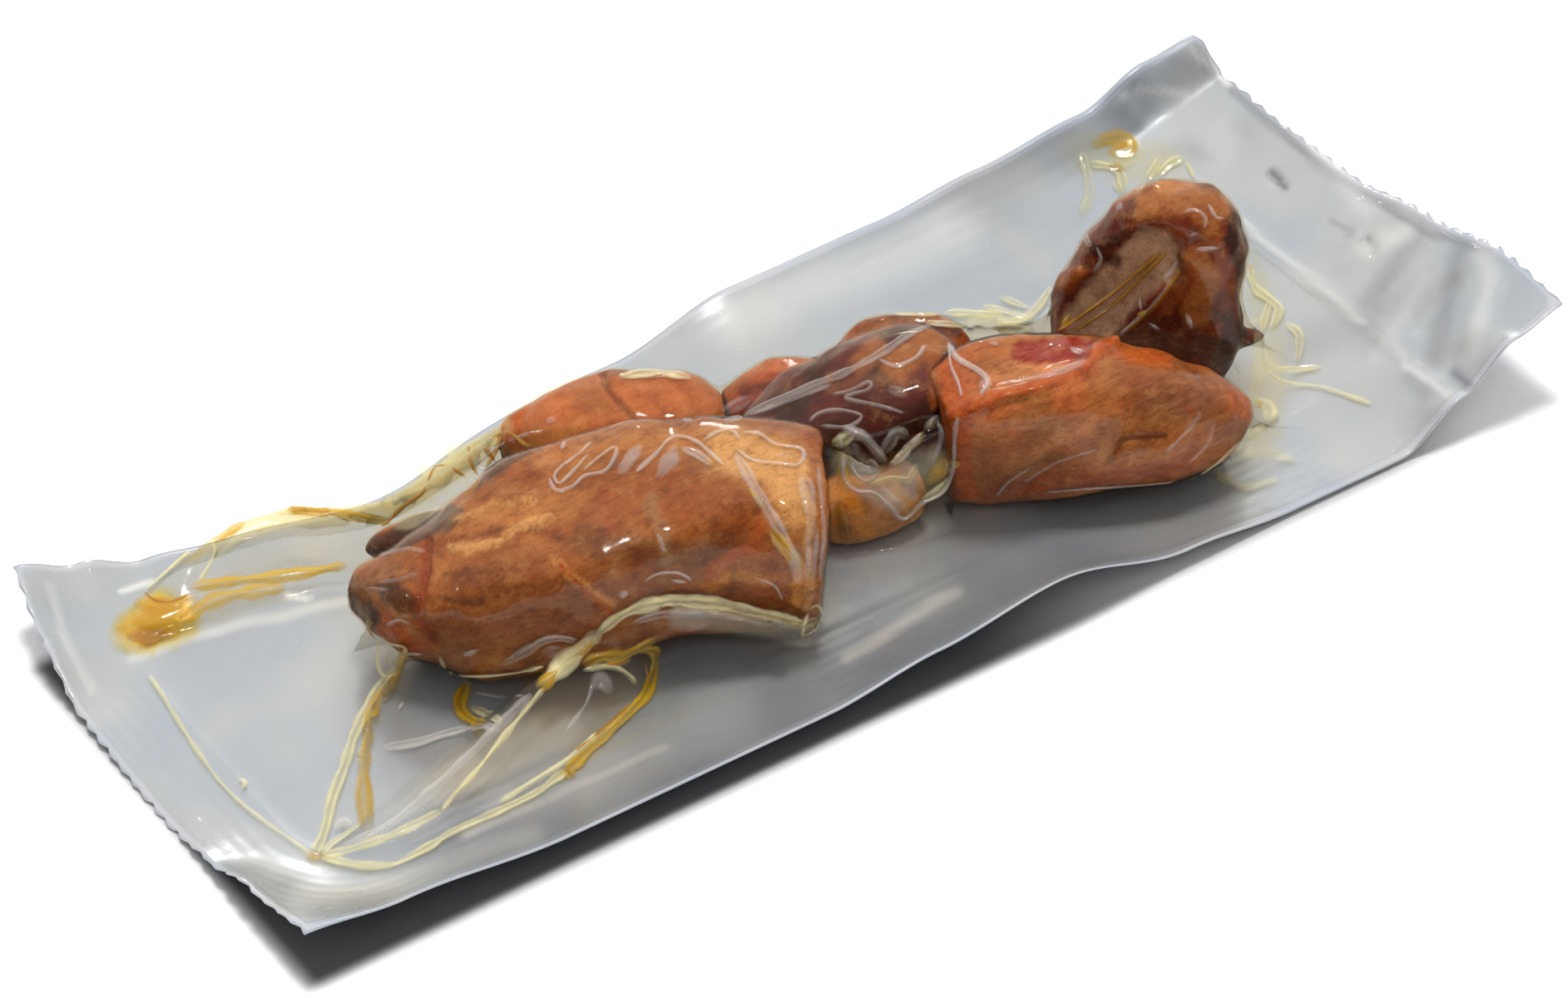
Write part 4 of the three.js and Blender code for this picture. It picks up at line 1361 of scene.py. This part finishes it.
@dataclass
class FilmFolds:
    """The folds of one tint, laid on the film as low rounded bands."""

    tint: Tint
    folds: tuple[Fold, ...]
    step_pixels: float = 3.0
    pixels_per_mm: float = 7.0
    jump: float = 3.0
    strips: int = 10
    off: float = 0.06

    def runs(self, fold: Fold, tree: BVHTree) -> list[Array]:
        """Returns the fold's runs of points on the film, broken where it goes out of sight."""
        found: list[list[Array]] = [[]]
        for pixel in through(fold.line, self.step_pixels):
            point = cast(tree, tuple(pixel))
            if point is None:
                continue
            if found[-1] and np.linalg.norm(point - found[-1][-1]) > self.jump:
                found.append([])
            found[-1].append(point)
        smooth = []
        for run in found:
            if len(run) < 4:
                continue
            line = np.array(run)
            for _ in range(3):
                line[1:-1] = 0.5 * line[1:-1] + 0.25 * (line[:-2] + line[2:])
            smooth.append(line)
        return smooth

    def add_band(self, work: bmesh.types.BMesh, fold: Fold, line: Array, tree: BVHTree) -> None:
        """Adds one run of a fold to a mesh, bent to the film under it."""
        core, across, along = (work.verts.layers.float[name] for name in ("core", "across", "along"))
        last = len(line) - 1
        gone = np.concatenate([[0], np.cumsum(np.linalg.norm(np.diff(line, axis=0), axis=1))])
        forward = np.gradient(line, axis=0)
        forward /= np.linalg.norm(forward, axis=1)[:, None] + 1e-9
        out = np.array([tree.find_nearest(Vector(point * MM))[1] for point in line])
        side = np.cross(out, forward)
        side /= np.linalg.norm(side, axis=1)[:, None] + 1e-9
        width = fold.width / self.pixels_per_mm
        uneven = 1.0 + 0.55 * noise_at(line, 0.3, len(line))
        ends = np.minimum(1.0, np.minimum(gone, gone[-1] - gone) / (1.2 * width + 0.5)) ** 0.6
        wide = 0.9 if 6 < fold.width < 15 else 0.68
        half = wide * width * uneven * (0.3 + 0.7 * ends)
        made = bmesh.ops.create_grid(work, x_segments=last, y_segments=self.strips, size=1)
        for v in made["verts"]:
            i = int(round((v.co.x + 1) / 2 * last))
            share = v.co.y
            place = line[i] + side[i] * share * half[i]
            near, normal, _, _ = tree.find_nearest(Vector(place * MM), 1.5 * MM)
            if near is None:
                near, normal = Vector(place * MM), Vector(out[i])
            v.co = near + normal * (self.off + fold.height * (1 - share**2) ** 2 * ends[i]) * MM
            v[core] = fold.cover(share) * ends[i]
            v[across] = 0.6 * share + 0.7 * len(fold.line)
            v[along] = gone[i]

    def build(self, tree: BVHTree) -> bpy.types.Object:
        """Makes the folds of this tint as one piece."""
        work = bmesh.new()
        for name in ("core", "across", "along"):
            work.verts.layers.float.new(name)
        for fold in self.folds:
            for line in self.runs(fold, tree):
                self.add_band(work, fold, line, tree)
        made = add_object(f"film_folds_{self.tint.value[0]}", work)
        shade_smooth(made.data)
        made.data.materials.append(FoldFinish(self.tint).material())
        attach(made, BODY)
        return made


def film_folds() -> list[FilmFolds]:
    """Returns the folds of the film, by tint."""
    # raised creases whose whitish colour is painted highlight and sheen
    clear = (
        # front left piece: fine loops and painted sheen patches on its shoulder, and its long crease
        Fold(((712, 530), (695, 546), (676, 560), (666, 572), (672, 582), (690, 565), (708, 545)), 3.5),
        Fold(((660, 574), (668, 590), (690, 584), (702, 572), (728, 566), (741, 545), (739, 537),
              (722, 548), (700, 566)), 4),
        Fold(((675, 542), (679, 530)), 5),
        Fold(((772, 534), (760, 548), (744, 572)), 9, 0.5, 0.1),
        Fold(((812, 534), (804, 556), (790, 576)), 15, 0.5, 0.1),
        Fold(((764, 568), (788, 546), (804, 528), (815, 524), (836, 530), (858, 548), (870, 560)), 4.5),
        Fold(((818, 538), (838, 546), (856, 560)), 7, 0.6),
        Fold(((845, 530), (864, 518), (880, 517), (888, 528)), 4.5),
        Fold(((892, 520), (912, 521), (932, 534), (960, 538), (967, 545), (960, 559), (938, 557),
              (905, 553), (886, 540)), 4.5, 0.85),
        Fold(((930, 546), (955, 548)), 16, 0.3, 0.1),
        Fold(((884, 545), (894, 562), (908, 588), (922, 612), (941, 642), (952, 664), (962, 704)),
             8, 0.65, 0.45),
        Fold(((774, 699), (790, 690), (810, 688), (825, 692), (831, 699)), 4, 0.95),
        Fold(((804, 697), (826, 700)), 5, 0.8),
        Fold(((743, 716), (757, 712)), 7, 1.0),
        Fold(((893, 668), (901, 666)), 5, 0.9),
        Fold(((600, 801), (632, 783), (652, 771), (672, 767), (694, 771)), 8, 0.6),
        Fold(((652, 786), (676, 779)), 14, 0.4),
        Fold(((556, 789), (577, 780)), 5, 0.7),
        Fold(((905, 694), (930, 703), (941, 722)), 3, 0.5),
        Fold(((790, 640), (796, 655), (800, 666)), 4, 0.5),
        Fold(((968, 570), (976, 640), (974, 700)), 11, 0.4),
        Fold(((984, 560), (990, 640), (985, 700)), 6, 0.35),
        Fold(((455, 668), (490, 660), (512, 664)), 5, 0.4),
        Fold(((455, 700), (480, 697), (505, 688)), 5, 0.25),
        Fold(((440, 707), (470, 710)), 4, 0.25),
        Fold(((465, 752), (480, 745), (495, 752)), 4, 0.6),
        Fold(((480, 786), (510, 786)), 5, 0.7),
        Fold(((640, 520), (600, 536), (570, 560)), 5, 0.5),
        # front fin: painted glints on its face and the pale leg that runs to the corner
        Fold(((800, 735), (860, 742), (920, 747), (960, 756)), 20, 0.4, 0.1),
        Fold(((760, 748), (800, 738), (850, 740)), 8, 0.6),
        Fold(((640, 834), (600, 872), (560, 912), (520, 950), (480, 984), (446, 1003), (410, 1018)),
             7, 0.9, 0.4),
        Fold(((460, 900), (500, 893), (540, 881), (580, 874), (602, 878)), 9, 0.95, 0.3),
        Fold(((570, 833), (600, 838), (630, 836)), 5, 0.6),
        Fold(((712, 830), (722, 815), (735, 835)), 10, 0.5, 0.1),
        Fold(((680, 880), (705, 845), (712, 820)), 4, 0.5),
        Fold(((478, 855), (486, 843)), 5, 0.8),
        Fold(((404, 1000), (414, 985), (420, 1000)), 9, 0.8, 0.1),
        # middle: crumpled shards in the gap, and fine lines with painted highlights over the dark piece
        Fold(((1012, 514), (1024, 520), (1040, 526), (1058, 548), (1072, 558), (1098, 532),
              (1122, 506), (1136, 497)), 8, 0.95, 0.7),
        Fold(((1062, 546), (1072, 528), (1078, 519), (1092, 526)), 9, 0.8),
        Fold(((1030, 545), (1024, 562), (1040, 578), (1056, 566), (1046, 552), (1036, 566)), 5, 0.9),
        Fold(((1008, 520), (1012, 545), (1014, 575), (1030, 590), (1052, 592), (1084, 624),
              (1106, 606), (1134, 590), (1146, 560), (1148, 520), (1152, 500)), 6, 0.85, 0.5),
        Fold(((1056, 584), (1072, 600), (1088, 616)), 10, 0.7),
        Fold(((1020, 530), (1034, 560), (1052, 580)), 14, 0.45),
        Fold(((1080, 562), (1100, 572), (1092, 590), (1104, 604)), 9, 0.5),
        Fold(((1128, 505), (1132, 525), (1120, 560)), 6, 0.5),
        Fold(((972, 508), (984, 497), (1008, 493), (1036, 500), (1020, 513), (986, 512)), 4.5, 0.5),
        Fold(((1000, 474), (1022, 470), (1046, 458), (1046, 468), (1016, 478), (1058, 488), (1088, 497)),
             4, 0.5),
        Fold(((1056, 432), (1078, 440), (1104, 428), (1112, 414)), 5, 0.7),
        Fold(((868, 510), (930, 484), (980, 462), (1020, 446), (1060, 424), (1100, 398), (1140, 387)),
             8, 0.6, 0.4),
        Fold(((900, 500), (960, 478), (1000, 462)), 6, 0.5),
        Fold(((1066, 466), (1090, 474)), 12, 0.35),
        # back left piece
        Fold(((655, 507), (670, 503)), 7, 0.6),
        Fold(((818, 502), (832, 508)), 7, 0.7),
        Fold(((855, 508), (880, 490), (910, 476)), 12, 0.35),
        # front right piece: lines with painted highlights at its near end, its top edge and its foot
        Fold(((1140, 411), (1150, 430), (1174, 444), (1188, 458), (1178, 476)), 6, 0.9),
        Fold(((1141, 414), (1143, 440), (1152, 460), (1156, 478)), 4, 0.8),
        Fold(((1186, 450), (1184, 468)), 20, 0.55, 0.1),
        Fold(((1188, 411), (1202, 415)), 7, 0.7),
        Fold(((1286, 417), (1302, 425)), 8, 0.95),
        Fold(((1200, 462), (1240, 454), (1275, 446), (1306, 432)), 8, 0.5),
        Fold(((1258, 592), (1300, 588), (1360, 584), (1412, 579)), 4, 0.65),
        Fold(((1196, 598), (1214, 578), (1240, 562)), 4, 0.5),
        Fold(((1230, 580), (1270, 556), (1320, 540)), 4, 0.4),
        Fold(((1400, 545), (1425, 520), (1445, 495)), 5, 0.35),
        Fold(((1425, 560), (1450, 535), (1460, 505)), 5, 0.3),
        # far right piece: stretched lines over the hollow, and painted glints
        Fold(((1346, 243), (1346, 254)), 7, 0.8),
        Fold(((1304, 282), (1312, 298)), 7, 0.5),
        Fold(((1318, 296), (1324, 312), (1314, 328)), 5, 0.6),
        Fold(((1396, 336), (1408, 326), (1416, 310)), 6, 0.85),
        Fold(((1370, 356), (1372, 374)), 6, 0.9),
        Fold(((1426, 376), (1433, 396)), 6, 0.9),
        Fold(((1380, 388), (1396, 397)), 5, 0.8),
        Fold(((1426, 324), (1434, 322)), 6, 0.8),
        Fold(((1422, 256), (1438, 252), (1450, 264), (1446, 276)), 5, 0.6),
        Fold(((1452, 244), (1462, 262), (1472, 262)), 5, 0.7),
        Fold(((1436, 300), (1466, 298)), 5, 0.7),
        Fold(((1430, 285), (1440, 278)), 5, 0.6),
        Fold(((1478, 284), (1481, 292)), 6, 0.9),
        Fold(((1484, 432), (1494, 452)), 7, 0.6),
        Fold(((1345, 404), (1385, 368), (1412, 334)), 5, 0.5),
        Fold(((1345, 366), (1350, 362)), 5, 0.7),
        # far corner
        Fold(((1500, 290), (1550, 330), (1590, 360)), 6, 0.3),
    )
    pale = (
        # back tunnel
        Fold(((176, 708), (200, 688), (228, 664), (254, 651)), 5, 0.8),
        Fold(((254, 651), (259, 664), (250, 682), (238, 700)), 4, 0.8),
        Fold(((330, 616), (400, 607), (440, 598), (470, 588), (510, 563), (540, 540), (562, 522),
              (602, 505)), 10, 0.9),
        Fold(((470, 603), (520, 570), (560, 540), (590, 520)), 36, 0.55, 0.1),
        Fold(((400, 612), (450, 610), (500, 600)), 22, 0.45, 0.1),
        Fold(((440, 630), (490, 628), (540, 606)), 20, 0.35, 0.1),
        Fold(((258, 672), (300, 640), (360, 628), (420, 628)), 8, 0.4, 0.1),
        # front fin and the legs of the tent at the tip
        Fold(((650, 826), (684, 792), (722, 758)), 20, 1.0, 0.5),
        Fold(((716, 764), (749, 738), (790, 725), (823, 722), (872, 728), (934, 742), (972, 753)),
             11, 1.0, 0.4),
        Fold(((971, 734), (983, 727), (988, 748), (964, 764), (972, 736)), 5, 0.9),
        Fold(((966, 752), (984, 744)), 12, 0.5),
        Fold(((655, 826), (612, 878), (572, 928), (546, 956), (530, 976)), 6, 0.8, 0.3),
        Fold(((532, 974), (480, 1000), (430, 1018), (384, 1030)), 7, 0.8),
        Fold(((384, 1030), (430, 1040), (470, 1040), (505, 1024), (545, 1000), (600, 975), (645, 953),
              (682, 926)), 9, 0.8),
        Fold(((600, 965), (640, 940), (684, 912), (720, 880)), 6, 0.8),
        Fold(((480, 800), (452, 832), (428, 880), (414, 922), (400, 960), (390, 1000), (378, 1026)),
             8, 0.7),
        Fold(((440, 986), (420, 1001), (400, 1014), (384, 1028)), 7, 0.7),
        Fold(((456, 768), (454, 794), (460, 812), (474, 812), (488, 780), (468, 774), (458, 764)), 5, 0.9),
        Fold(((462, 790), (476, 792)), 20, 0.45),
        Fold(((564, 850), (590, 860), (604, 872)), 9, 0.7),
        Fold(((700, 806), (730, 801), (748, 806), (766, 822)), 6, 0.7),
        Fold(((528, 788), (540, 808), (570, 813), (612, 810), (655, 802)), 5, 0.9),
        Fold(((180, 812), (270, 946), (378, 1030)), 5, 0.5),
        Fold(((284, 936), (296, 940), (290, 950)), 6, 0.7),
        # middle and the curtain behind the front right piece
        Fold(((996, 534), (1016, 528), (1026, 518)), 9, 0.8),
        Fold(((1044, 584), (1070, 574), (1092, 576), (1102, 556)), 7, 0.8),
        Fold(((1106, 602), (1128, 590), (1142, 572)), 9, 0.8),
        Fold(((1060, 376), (1110, 378), (1160, 376), (1210, 380)), 9, 0.8),
        Fold(((1110, 388), (1180, 392), (1244, 397)), 8, 0.7),
        Fold(((1180, 368), (1215, 376), (1252, 388)), 9, 0.7),
        Fold(((1263, 344), (1250, 366), (1228, 384), (1196, 386)), 8, 0.7),
        Fold(((1200, 356), (1240, 372)), 10, 0.5),
        Fold(((1130, 384), (1230, 386)), 22, 0.45, 0.1),
        Fold(((742, 453), (790, 447), (832, 454)), 13, 0.85),
        # wisps above, right of and below the right pieces
        Fold(((1308, 196), (1344, 204), (1350, 232)), 9, 0.55),
        Fold(((1340, 216), (1350, 236)), 12, 0.6),
        Fold(((1368, 232), (1384, 208), (1396, 188)), 7, 0.5),
        Fold(((1386, 218), (1404, 198), (1424, 188)), 8, 0.6),
        Fold(((1425, 192), (1436, 216)), 5, 0.5),
        Fold(((1300, 180), (1310, 230), (1300, 260)), 8, 0.35),
        Fold(((1330, 200), (1380, 180)), 26, 0.3, 0.1),
        Fold(((1500, 318), (1508, 344), (1524, 358), (1538, 372), (1528, 396)), 8, 0.6),
        Fold(((1526, 362), (1518, 400), (1528, 438), (1550, 444), (1590, 441)), 7, 0.6),
        Fold(((1545, 388), (1562, 402), (1560, 436)), 7, 0.55),
        Fold(((1512, 430), (1540, 458), (1590, 466), (1650, 486)), 6, 0.5),
        Fold(((1510, 380), (1514, 440), (1506, 480)), 20, 0.4, 0.1),
        Fold(((1498, 478), (1526, 490), (1520, 516), (1494, 524)), 12, 0.7),
        Fold(((1485, 545), (1515, 540), (1560, 556)), 14, 0.4, 0.1),
        Fold(((1430, 578), (1464, 556), (1490, 530)), 6, 0.7),
        Fold(((1455, 560), (1490, 585), (1540, 575)), 10, 0.35, 0.1),
    )
    gold = (
        Fold(((146, 762), (165, 754), (190, 744), (215, 735), (243, 722)), 40, 0.75, 0.5),
        Fold(((164, 718), (182, 730), (206, 731), (232, 716)), 18, 0.7, 0.3),
        Fold(((228, 706), (300, 697), (360, 690), (418, 679)), 9, 1.0, 0.4),
        Fold(((215, 748), (258, 722), (300, 712), (345, 706)), 11, 0.8, 0.3),
        Fold(((256, 651), (300, 624), (332, 613), (400, 616)), 7, 1.0, 0.3),
        Fold(((390, 614), (440, 623), (474, 629)), 7, 0.8),
        Fold(((646, 830), (678, 798), (718, 764)), 9, 0.8, 0.5),
        Fold(((488, 780), (478, 812), (458, 834), (445, 862), (440, 892), (437, 930), (438, 962),
              (441, 990)), 12, 0.6, 0.35),
        Fold(((368, 1024), (380, 1030), (390, 1026)), 14, 0.8),
        Fold(((682, 928), (724, 886), (762, 850), (777, 834), (786, 800), (786, 782), (766, 783)),
             9, 0.95, 0.3),
        Fold(((676, 922), (690, 936)), 14, 0.9),
        Fold(((700, 800), (722, 790), (742, 790), (758, 784), (792, 766)), 10, 0.95, 0.3),
        Fold(((562, 818), (553, 845), (560, 862), (582, 870)), 10, 0.9),
        Fold(((452, 770), (442, 752), (448, 745)), 6, 0.7),
        Fold(((926, 634), (944, 658), (962, 682)), 11, 0.8, 0.4),
        Fold(((900, 586), (920, 614)), 5, 0.7),
        Fold(((956, 664), (964, 684)), 16, 0.7),
        Fold(((1066, 560), (1092, 540), (1122, 508)), 8, 0.8),
        Fold(((1009, 556), (1016, 580), (1010, 604)), 9, 0.8),
        Fold(((1112, 582), (1128, 568), (1134, 548)), 20, 0.8, 0.4),
        Fold(((1140, 568), (1152, 556), (1138, 558)), 6, 0.7),
        Fold(((1275, 394), (1288, 376)), 8, 0.9),
        Fold(((1312, 176), (1334, 166), (1356, 168), (1360, 178), (1330, 183)), 14, 0.65),
        Fold(((1334, 196), (1352, 204)), 9, 0.6),
        Fold(((1366, 380), (1380, 374)), 6, 0.9),
        Fold(((1500, 314), (1506, 326)), 6, 0.7),
        Fold(((1500, 488), (1520, 484)), 8, 0.6),
    )
    amber = (
        Fold(((150, 766), (180, 764), (215, 750)), 18, 0.7, 0.3),
        Fold(((174, 712), (186, 722), (206, 724), (228, 714)), 3.5, 0.9),
        Fold(((300, 621), (332, 612), (398, 614)), 5, 0.7),
        Fold(((458, 634), (486, 608), (508, 592), (516, 575), (524, 561), (542, 562), (560, 574)), 4, 0.8),
        Fold(((562, 530), (566, 556), (576, 580), (556, 600)), 5, 0.9, 0.4),
        Fold(((574, 530), (590, 548), (600, 562)), 5, 0.8),
        Fold(((592, 526), (612, 520), (630, 534), (646, 540)), 6, 0.9, 0.4),
        Fold(((604, 518), (597, 540), (584, 562)), 5, 0.8),
        Fold(((690, 905), (720, 880), (756, 848)), 3, 0.8),
        Fold(((720, 802), (745, 797), (760, 792)), 6, 0.8),
        Fold(((776, 796), (780, 830)), 4, 0.7),
        Fold(((556, 826), (550, 846), (562, 866)), 4, 0.7),
        Fold(((1268, 400), (1310, 372), (1352, 340), (1396, 302)), 5, 0.9, 0.5),
        Fold(((1286, 402), (1338, 366), (1380, 326), (1404, 300)), 5, 0.8, 0.4),
        Fold(((1350, 400), (1390, 366), (1420, 322)), 5, 0.6),
        Fold(((1008, 600), (1016, 640), (1020, 656)), 7, 0.6),
    )
    return [
        FilmFolds(Tint.CLEAR, clear), FilmFolds(Tint.PALE, pale),
        FilmFolds(Tint.GOLD, gold), FilmFolds(Tint.AMBER, amber),
    ]


# ----------------------------------------------------------------------------------------- studio


@dataclass(frozen=True)
class Softbox:
    """An area light aimed at the pack."""

    name: str
    azimuth: float
    elevation: float
    distance: float
    size: float
    power: float
    shades: bool = True
    shines: bool = True

    def build(self) -> None:
        """Adds the light."""
        a, e = math.radians(self.azimuth), math.radians(self.elevation)
        away = Vector((math.sin(a) * math.cos(e), -math.cos(a) * math.cos(e), math.sin(e)))
        data = bpy.data.lights.new(self.name, "AREA")
        data.shape = "SQUARE"
        data.size = self.size
        data.energy = self.power
        made = bpy.data.objects.new(self.name, data)
        made.visible_diffuse = self.shades
        made.visible_glossy = self.shines
        made.location = away * self.distance
        made.rotation_euler = away.to_track_quat("Z", "Y").to_euler()
        bpy.context.scene.collection.objects.link(made)


@dataclass(frozen=True)
class Studio:
    """Plain pale floor with a painted shadow right under the pack, white surroundings and soft light from
    behind and above.
    """

    floor_size: float = 6.0
    floor_colour: tuple[float, float, float, float] = (0.9, 0.9, 0.9, 1)
    # colour of the painted shadow on the floor under the pack
    painted_shadow_colour: tuple[float, float, float, float] = (0.05, 0.05, 0.055, 1)
    shading_from: tuple[float, float, float] = (0.0, 0.1, 1.0)
    shading: tuple[float, float] = (0.05, 0.75)
    shine_from: tuple[float, float, float] = (0.45, 0.65, 0.62)
    shine: tuple[float, float] = (0.12, 1.0)
    softboxes: tuple[Softbox, ...] = (
        Softbox("key", 150, 82, 1.8, 0.4, 24, shines=False),
        Softbox("fill", -25, 50, 1.8, 0.9, 6, shines=False),
        Softbox("spark_back", 145, 22, 1.8, 0.12, 1.5, shades=False),
        Softbox("spark_left", -100, 35, 1.8, 0.14, 1.2, shades=False),
        Softbox("spark_front", 15, 70, 1.8, 0.14, 3, shades=False),
    )

    def build(self) -> None:
        """Adds floor, world and lights."""
        work = bmesh.new()
        bmesh.ops.create_grid(work, x_segments=1, y_segments=1, size=self.floor_size / 2)
        floor = add_object("floor", work)
        s = Shader("pale_floor_painted_shadow")
        shade = s.ramp(s.noise(s.places(), 3, 2), 0.3, 0.7, 0.97, 1.0)
        colour = s.blend(shade, (0.86, 0.86, 0.86, 1), self.floor_colour)
        # painted contact shadow: the floor is painted dark right under the pack's outline, fading out
        # towards its raised end
        place = s.node("SeparateXYZ", {0: s.places()})
        long, wide = (SHAPE.half_length * MM, SHAPE.half_width * MM)
        x, y = s.maths("ADD", place.outputs["X"], 0.002), s.maths("ADD", place.outputs["Y"], 0.006)
        shadow_under_x = s.ramp(s.maths("ABSOLUTE", x), long + 0.001, long - 0.004)
        shadow_under_y = s.ramp(s.maths("ABSOLUTE", y), wide - 0.002, wide - 0.0065)
        low = s.maths("MULTIPLY", s.ramp(x, 0.0, 0.045, 1.0, 0.6), s.ramp(x, 0.09, 0.115, 0.97, 0.15))
        under = s.maths("MULTIPLY", s.maths("MULTIPLY", shadow_under_x, shadow_under_y), low)
        colour = s.blend(under, colour, self.painted_shadow_colour)
        bsdf = s.node("BsdfPrincipled", {"Base Color": colour, "Roughness": 0.9})
        floor.data.materials.append(s.surface(bsdf.outputs[0]))
        world = bpy.data.worlds.new("white_room")
        world.use_nodes = True
        tree = world.node_tree
        where = tree.nodes.new("ShaderNodeTexCoord")
        backgrounds = []
        for side, low, high, (dim, bright) in (
            (self.shading_from, -0.2, 0.9, self.shading), (self.shine_from, -0.2, 0.75, self.shine),
        ):
            towards = tree.nodes.new("ShaderNodeVectorMath")
            towards.operation = "DOT_PRODUCT"
            towards.inputs[1].default_value = Vector(side).normalized()
            tree.links.new(where.outputs["Generated"], towards.inputs[0])
            shade = tree.nodes.new("ShaderNodeMapRange")
            for key, value in {1: low, 2: high, 3: dim, 4: bright}.items():
                shade.inputs[key].default_value = value
            tree.links.new(towards.outputs["Value"], shade.inputs[0])
            background = tree.nodes.new("ShaderNodeBackground")
            background.inputs["Color"].default_value = (1, 1, 1, 1)
            tree.links.new(shade.outputs[0], background.inputs["Strength"])
            backgrounds.append(background)
        both = tree.nodes.new("ShaderNodeMixShader")
        ray = tree.nodes.new("ShaderNodeLightPath")
        tree.links.new(ray.outputs["Is Glossy Ray"], both.inputs[0])
        for number, background in enumerate(backgrounds, 1):
            tree.links.new(background.outputs[0], both.inputs[number])
        tree.links.new(both.outputs[0], tree.nodes["World Output"].inputs["Surface"])
        bpy.context.scene.world = world
        bpy.context.scene.view_settings.view_transform = "Standard"
        for softbox in self.softboxes:
            softbox.build()


# ------------------------------------------------------------------------------------------- main


def report(made: bpy.types.Object) -> None:
    """Logs a finished piece."""
    LOG.info("%s: %d faces", made.name, len(made.data.polygons))


def main() -> None:
    """Builds the pack and its studio."""
    logging.basicConfig(level=logging.INFO, format="%(name)s: %(message)s")
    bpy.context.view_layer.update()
    noise.seed_set(SEED)
    VIEW.camera()
    Studio().build()
    report(WEB.build())
    hams = ham_pieces()
    for ham in hams:
        report(ham.build())
    film = ClearFilm()
    skin = film.build(hams)
    tree = tree_of(skin.data)
    for folds in film_folds():
        report(folds.build(tree))
    film.thicken(skin)
    report(skin)
    bpy.context.view_layer.update()


if __name__ == "__main__":
    main()
